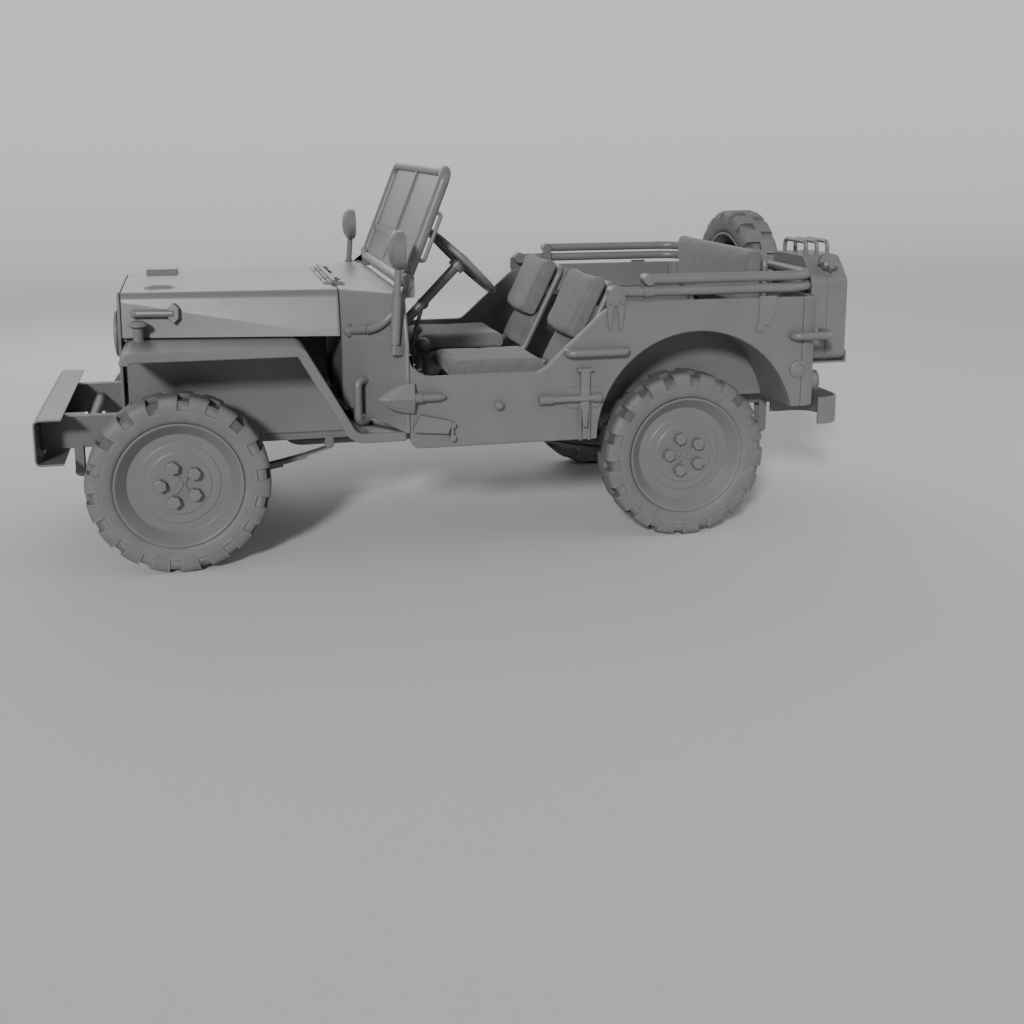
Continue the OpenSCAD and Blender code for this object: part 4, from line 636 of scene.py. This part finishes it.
# Spring seats: two U-bolts over the axle tube, a plate under the leaves and four nuts
AXLES_X = (middle("tyre_front_left")[0], middle("tyre_rear_left")[0])
AXLE_Z = middle("tyre_front_left")[2]
SPRING_Y = 348.5
BOLT_REACH = 46
BOLT_DROP = 106
BOLT_OFF = 29
PLATE_Z = 253
NUT_Z = 248.5
seats = [(x, s * SPRING_Y) for x in AXLES_X for s in (-1, 1)]
arch = []
for degrees in range(0, 181, 15):
    turn = math.radians(degrees)
    arch.append((math.cos(turn) * BOLT_REACH, 0, math.sin(turn) * BOLT_REACH))
u_bolt = wire("u_bolt", [(BOLT_REACH, 0, -BOLT_DROP), *arch, (-BOLT_REACH, 0, -BOLT_DROP)], 6)
u_places = [at(x, y + off, AXLE_Z) for x, y in seats for off in (-BOLT_OFF, BOLT_OFF)]
carried(copies(u_bolt, "spring_u_bolts", u_places), "chassis", "running_gear")
spring_plate = softened(box_of((128, 82, 9), (0, 0, 0)), 3)
plates = copies(spring_plate, "spring_plates", [at(x, y, PLATE_Z) for x, y in seats])
carried(plates, "chassis", "running_gear")
legs = [(leg, off) for leg in (-BOLT_REACH, BOLT_REACH) for off in (-BOLT_OFF, BOLT_OFF)]
nut_places = [at(x + leg, y + off, NUT_Z, "down") for x, y in seats for leg, off in legs]
carried(copies(hex_bolt(22, 9), "spring_nuts", nut_places), "chassis", "running_gear")

# Dials on the dash: a dished case with ticks and a needle
DASH_X = 252.5
SPEED_DIAL_Z = 980
SMALL_DIALS_Y = (-88, 88)
SMALL_DIALS_Z = (945, 1012)
DIAL_TICKS = 9


def dial(radius):
    case = dished(radius, 9, radius * 0.1, 4)
    marks = []
    for step in range(DIAL_TICKS):
        mark = box_of((radius * 0.16, radius * 0.05, 1.2), (radius * 0.7, 0, 5.3))
        mark.rotation_euler.z = math.radians(step * 30 - 120)
        marks.append(seated(mark))
    needle = softened(box_of((radius * 0.6, radius * 0.06, 1.4), (radius * 0.22, 0, 6.4)), 0.4)
    boss = round_head(radius * 0.12, 7)
    return joined(case, needle, boss, *marks)


carried(copies(dial(52), "speed_dial", [at(DASH_X, 0, SPEED_DIAL_Z, "back")]), "chassis", "lamp")
small_dials = [at(DASH_X, y, z, "back") for y in SMALL_DIALS_Y for z in SMALL_DIALS_Z]
carried(copies(dial(27), "small_dials", small_dials), "chassis", "lamp")

# Radiator core: upright fins between flat tubes
FINS = 74
FIN_PITCH = 6
TUBES = 22
TUBE_PITCH = 19


def row(piece, count, step):
    """Repeats the piece this many times, a step apart."""
    pressed(piece, "ARRAY", count=count, use_relative_offset=False, use_constant_offset=True,
            constant_offset_displace=Vector(step) * MM)
    return piece


fin = softened(box_of((8, 1.4, 420), (1286.5, -FIN_PITCH * (FINS - 1) / 2, 765)), 0.4)
tube = softened(box_of((6, 440, 2.4), (1285.5, 0, 562)), 0.6)
core = joined(row(fin, FINS, (0, FIN_PITCH, 0)), row(tube, TUBES, (0, 0, TUBE_PITCH)))
core.name = "radiator_core"
carried(core, "chassis", "running_gear")

# Mirror faces, lamp rings and tail-lamp rings
MIRROR = (267, 760, 1221)
HEAD_LAMP = (1328.5, 300, 880)
TAIL_LAMP = (-1464.5, 700, 640)
carried(copies(dished(68, 3, 4, 1.5, 48), "mirror_faces", pair(*MIRROR, "back")), "chassis", "pane")
carried(copies(dished(93, 9, 9, 5, 56), "lamp_rings", pair(*HEAD_LAMP, "ahead")), "chassis", "lamp")
carried(copies(dished(42, 7, 6, 3), "tail_lamp_rings", pair(*TAIL_LAMP, "back")), "chassis", "lamp")

# Weld seam round the fuel can: a thin slice of it, swollen
CAN_MID = -1550
CAN_SEAM_HALF = 6
CAN_SEAM_TOP = 1060
CAN_SEAM_RISE = 4
can_seam = merged_copy("fuel_can", "can_seam")
editing(can_seam)
for place_x, behind in ((CAN_MID - CAN_SEAM_HALF, True), (CAN_MID + CAN_SEAM_HALF, False)):
    bpy.ops.mesh.bisect(plane_co=(place_x * MM, 0, 0), plane_no=(1, 0, 0), use_fill=True,
                        clear_inner=behind, clear_outer=not behind)
    bpy.ops.mesh.select_all(action="SELECT")
bpy.ops.mesh.bisect(plane_co=(0, 0, CAN_SEAM_TOP * MM), plane_no=(0, 0, 1), use_fill=True, clear_outer=True)
bpy.ops.mesh.select_all(action="SELECT")
bpy.ops.mesh.normals_make_consistent(inside=False)
bpy.ops.transform.shrink_fatten(value=CAN_SEAM_RISE * MM)
done()
carried(softened(can_seam, 1.5), "chassis", SLOT_OF["fuel_can"])

# Stamped ribs of the load floor
RIB_X = -770
RIB_Z = 583
RIBS_Y = range(-360, 361, 120)
rib = softened(box_of((470, 16, 7), (0, 0, 1.5)), 5, 3)
carried(copies(rib, "floor_ribs", [at(RIB_X, y, RIB_Z) for y in RIBS_Y]), "chassis", "body_paint")

# Engine dressing: head cover, plugs, air cleaner and fan
HEAD_Y = -40
COVER_MID = (795, HEAD_Y, 908)
PLUGS_X = (600, 730, 860, 990)
PLUG_Y = 70
PLUG_Z = 889
CLEANER = (590, HEAD_Y, 926)
CLEANER_RISE = 84
FAN = (1150, 0, 720)
BLADE_MID = 95
BLADE_TWIST = 24


def air_cleaner():
    pot = softened(cylinder(64, CLEANER_RISE, 36), 10, 3)
    return joined(pot, copies(round_head(9, 14), "wing", [at(0, 0, CLEANER_RISE - 1)]))


def fan():
    blade = softened(box_of((150, 62, 3), (BLADE_MID, 0, 0)), 1)
    blade.rotation_euler.x = math.radians(BLADE_TWIST)
    blades = copies(seated(blade), "blades", [turned(angle) for angle in (0, 90, 180, 270)])
    return joined(blades, softened(cylinder(34, 30, 28), 4))


cover = softened(box_of((500, 120, 40), COVER_MID), 12, 3)
plug = joined(hex_bolt(24, 12), round_head(7, 34))
plugs = copies(plug, "plugs", [at(x, PLUG_Y, PLUG_Z) for x in PLUGS_X])
cleaner = copies(air_cleaner(), "cleaner", [at(*CLEANER)])
dressing = joined(cover, plugs, cleaner, copies(fan(), "fan", [at(*FAN, "ahead")]))
dressing.name = "engine_dressing"
carried(dressing, "chassis", "running_gear")

# Horn button on the steering wheel
HUB = (-47.5, 300, 1130)
COLUMN_LEAN = math.radians(-44.3)
BUTTON_RISE = 17
button = dished(21, 12, 4, 1.5, 32)
button.rotation_euler.y = COLUMN_LEAN
lift = Vector((math.sin(COLUMN_LEAN), 0, math.cos(COLUMN_LEAN))) * BUTTON_RISE
button.location = (Vector(HUB) + lift) * MM
button.name = "horn_button"
carried(seated(button), "hand_wheel", "hand_wheel")


# Camera at the photograph's place, in metres and degrees
CAMERA_PLACE = (1.0165, 5.535, 1.635)
CAMERA_YAW = -103.76
CAMERA_DROP = 10.86
lens = bpy.data.cameras.new("camera")
lens.lens = 45.25
lens.sensor_width = 36
lens.shift_y = -0.125
camera = linked("camera", lens)
camera.location = CAMERA_PLACE
camera.rotation_euler = (math.radians(90 - CAMERA_DROP), 0, math.radians(CAMERA_YAW - 90))
bpy.context.scene.camera = camera

# Pale floor that sweeps up into a back wall, in metres
GROUND_SIZE = 60
GROUND_Y = 16
WALL_RISE = 20
SWEEP = 5
bpy.ops.object.select_all(action="DESELECT")
bpy.ops.mesh.primitive_plane_add(size=GROUND_SIZE, location=(0, GROUND_Y, 0))
ground = seated(bpy.context.active_object)
ground.name = "ground"
picking(ground, "vertices", lambda vertex: vertex.co.y < 0)
bpy.ops.mesh.extrude_region_move(TRANSFORM_OT_translate={"value": (0, 0, WALL_RISE)})
done()
pressed(ground, "BEVEL", width=SWEEP, segments=12, limit_method="ANGLE", angle_limit=math.radians(30))
bpy.ops.object.shade_smooth()
ground_finish, ground_tree, ground_face = shader("ground", (0.6, 0.6, 0.6), 0.8)
ground.data.materials.append(ground_finish)


# Soft studio light
def aimed(light, direction):
    light.rotation_euler = Vector(direction).to_track_quat("-Z", "Y").to_euler()


def soft_light(name, place_at, aim, size, power):
    """A square lamp of this size in metres and power in watts."""
    lamp = bpy.data.lights.new(name, "AREA")
    lamp.size = size
    lamp.energy = power
    light = linked(name, lamp)
    light.location = place_at
    aimed(light, Vector(aim) - Vector(place_at))


KEY_DIRECTION = (-3.0, -6.2, -2.9)
SKY_COLOUR = (0.86, 0.88, 0.9, 1)
SKY_STRENGTH = 0.4
sun = bpy.data.lights.new("key", "SUN")
sun.energy = 2.7
sun.angle = math.radians(7)
aimed(linked("key", sun), KEY_DIRECTION)
soft_light("fill", (-5.0, 2.0, 2.6), (-0.4, 0, 0.6), size=3.0, power=40)
soft_light("rim", (1.0, -5.0, 4.0), (0, 0, 0.7), size=4.0, power=90)
world = bpy.data.worlds.new("studio")
world.use_nodes = True
sky = world.node_tree.nodes["Background"]
sky.inputs["Color"].default_value = SKY_COLOUR
sky.inputs["Strength"].default_value = SKY_STRENGTH
bpy.context.scene.world = world
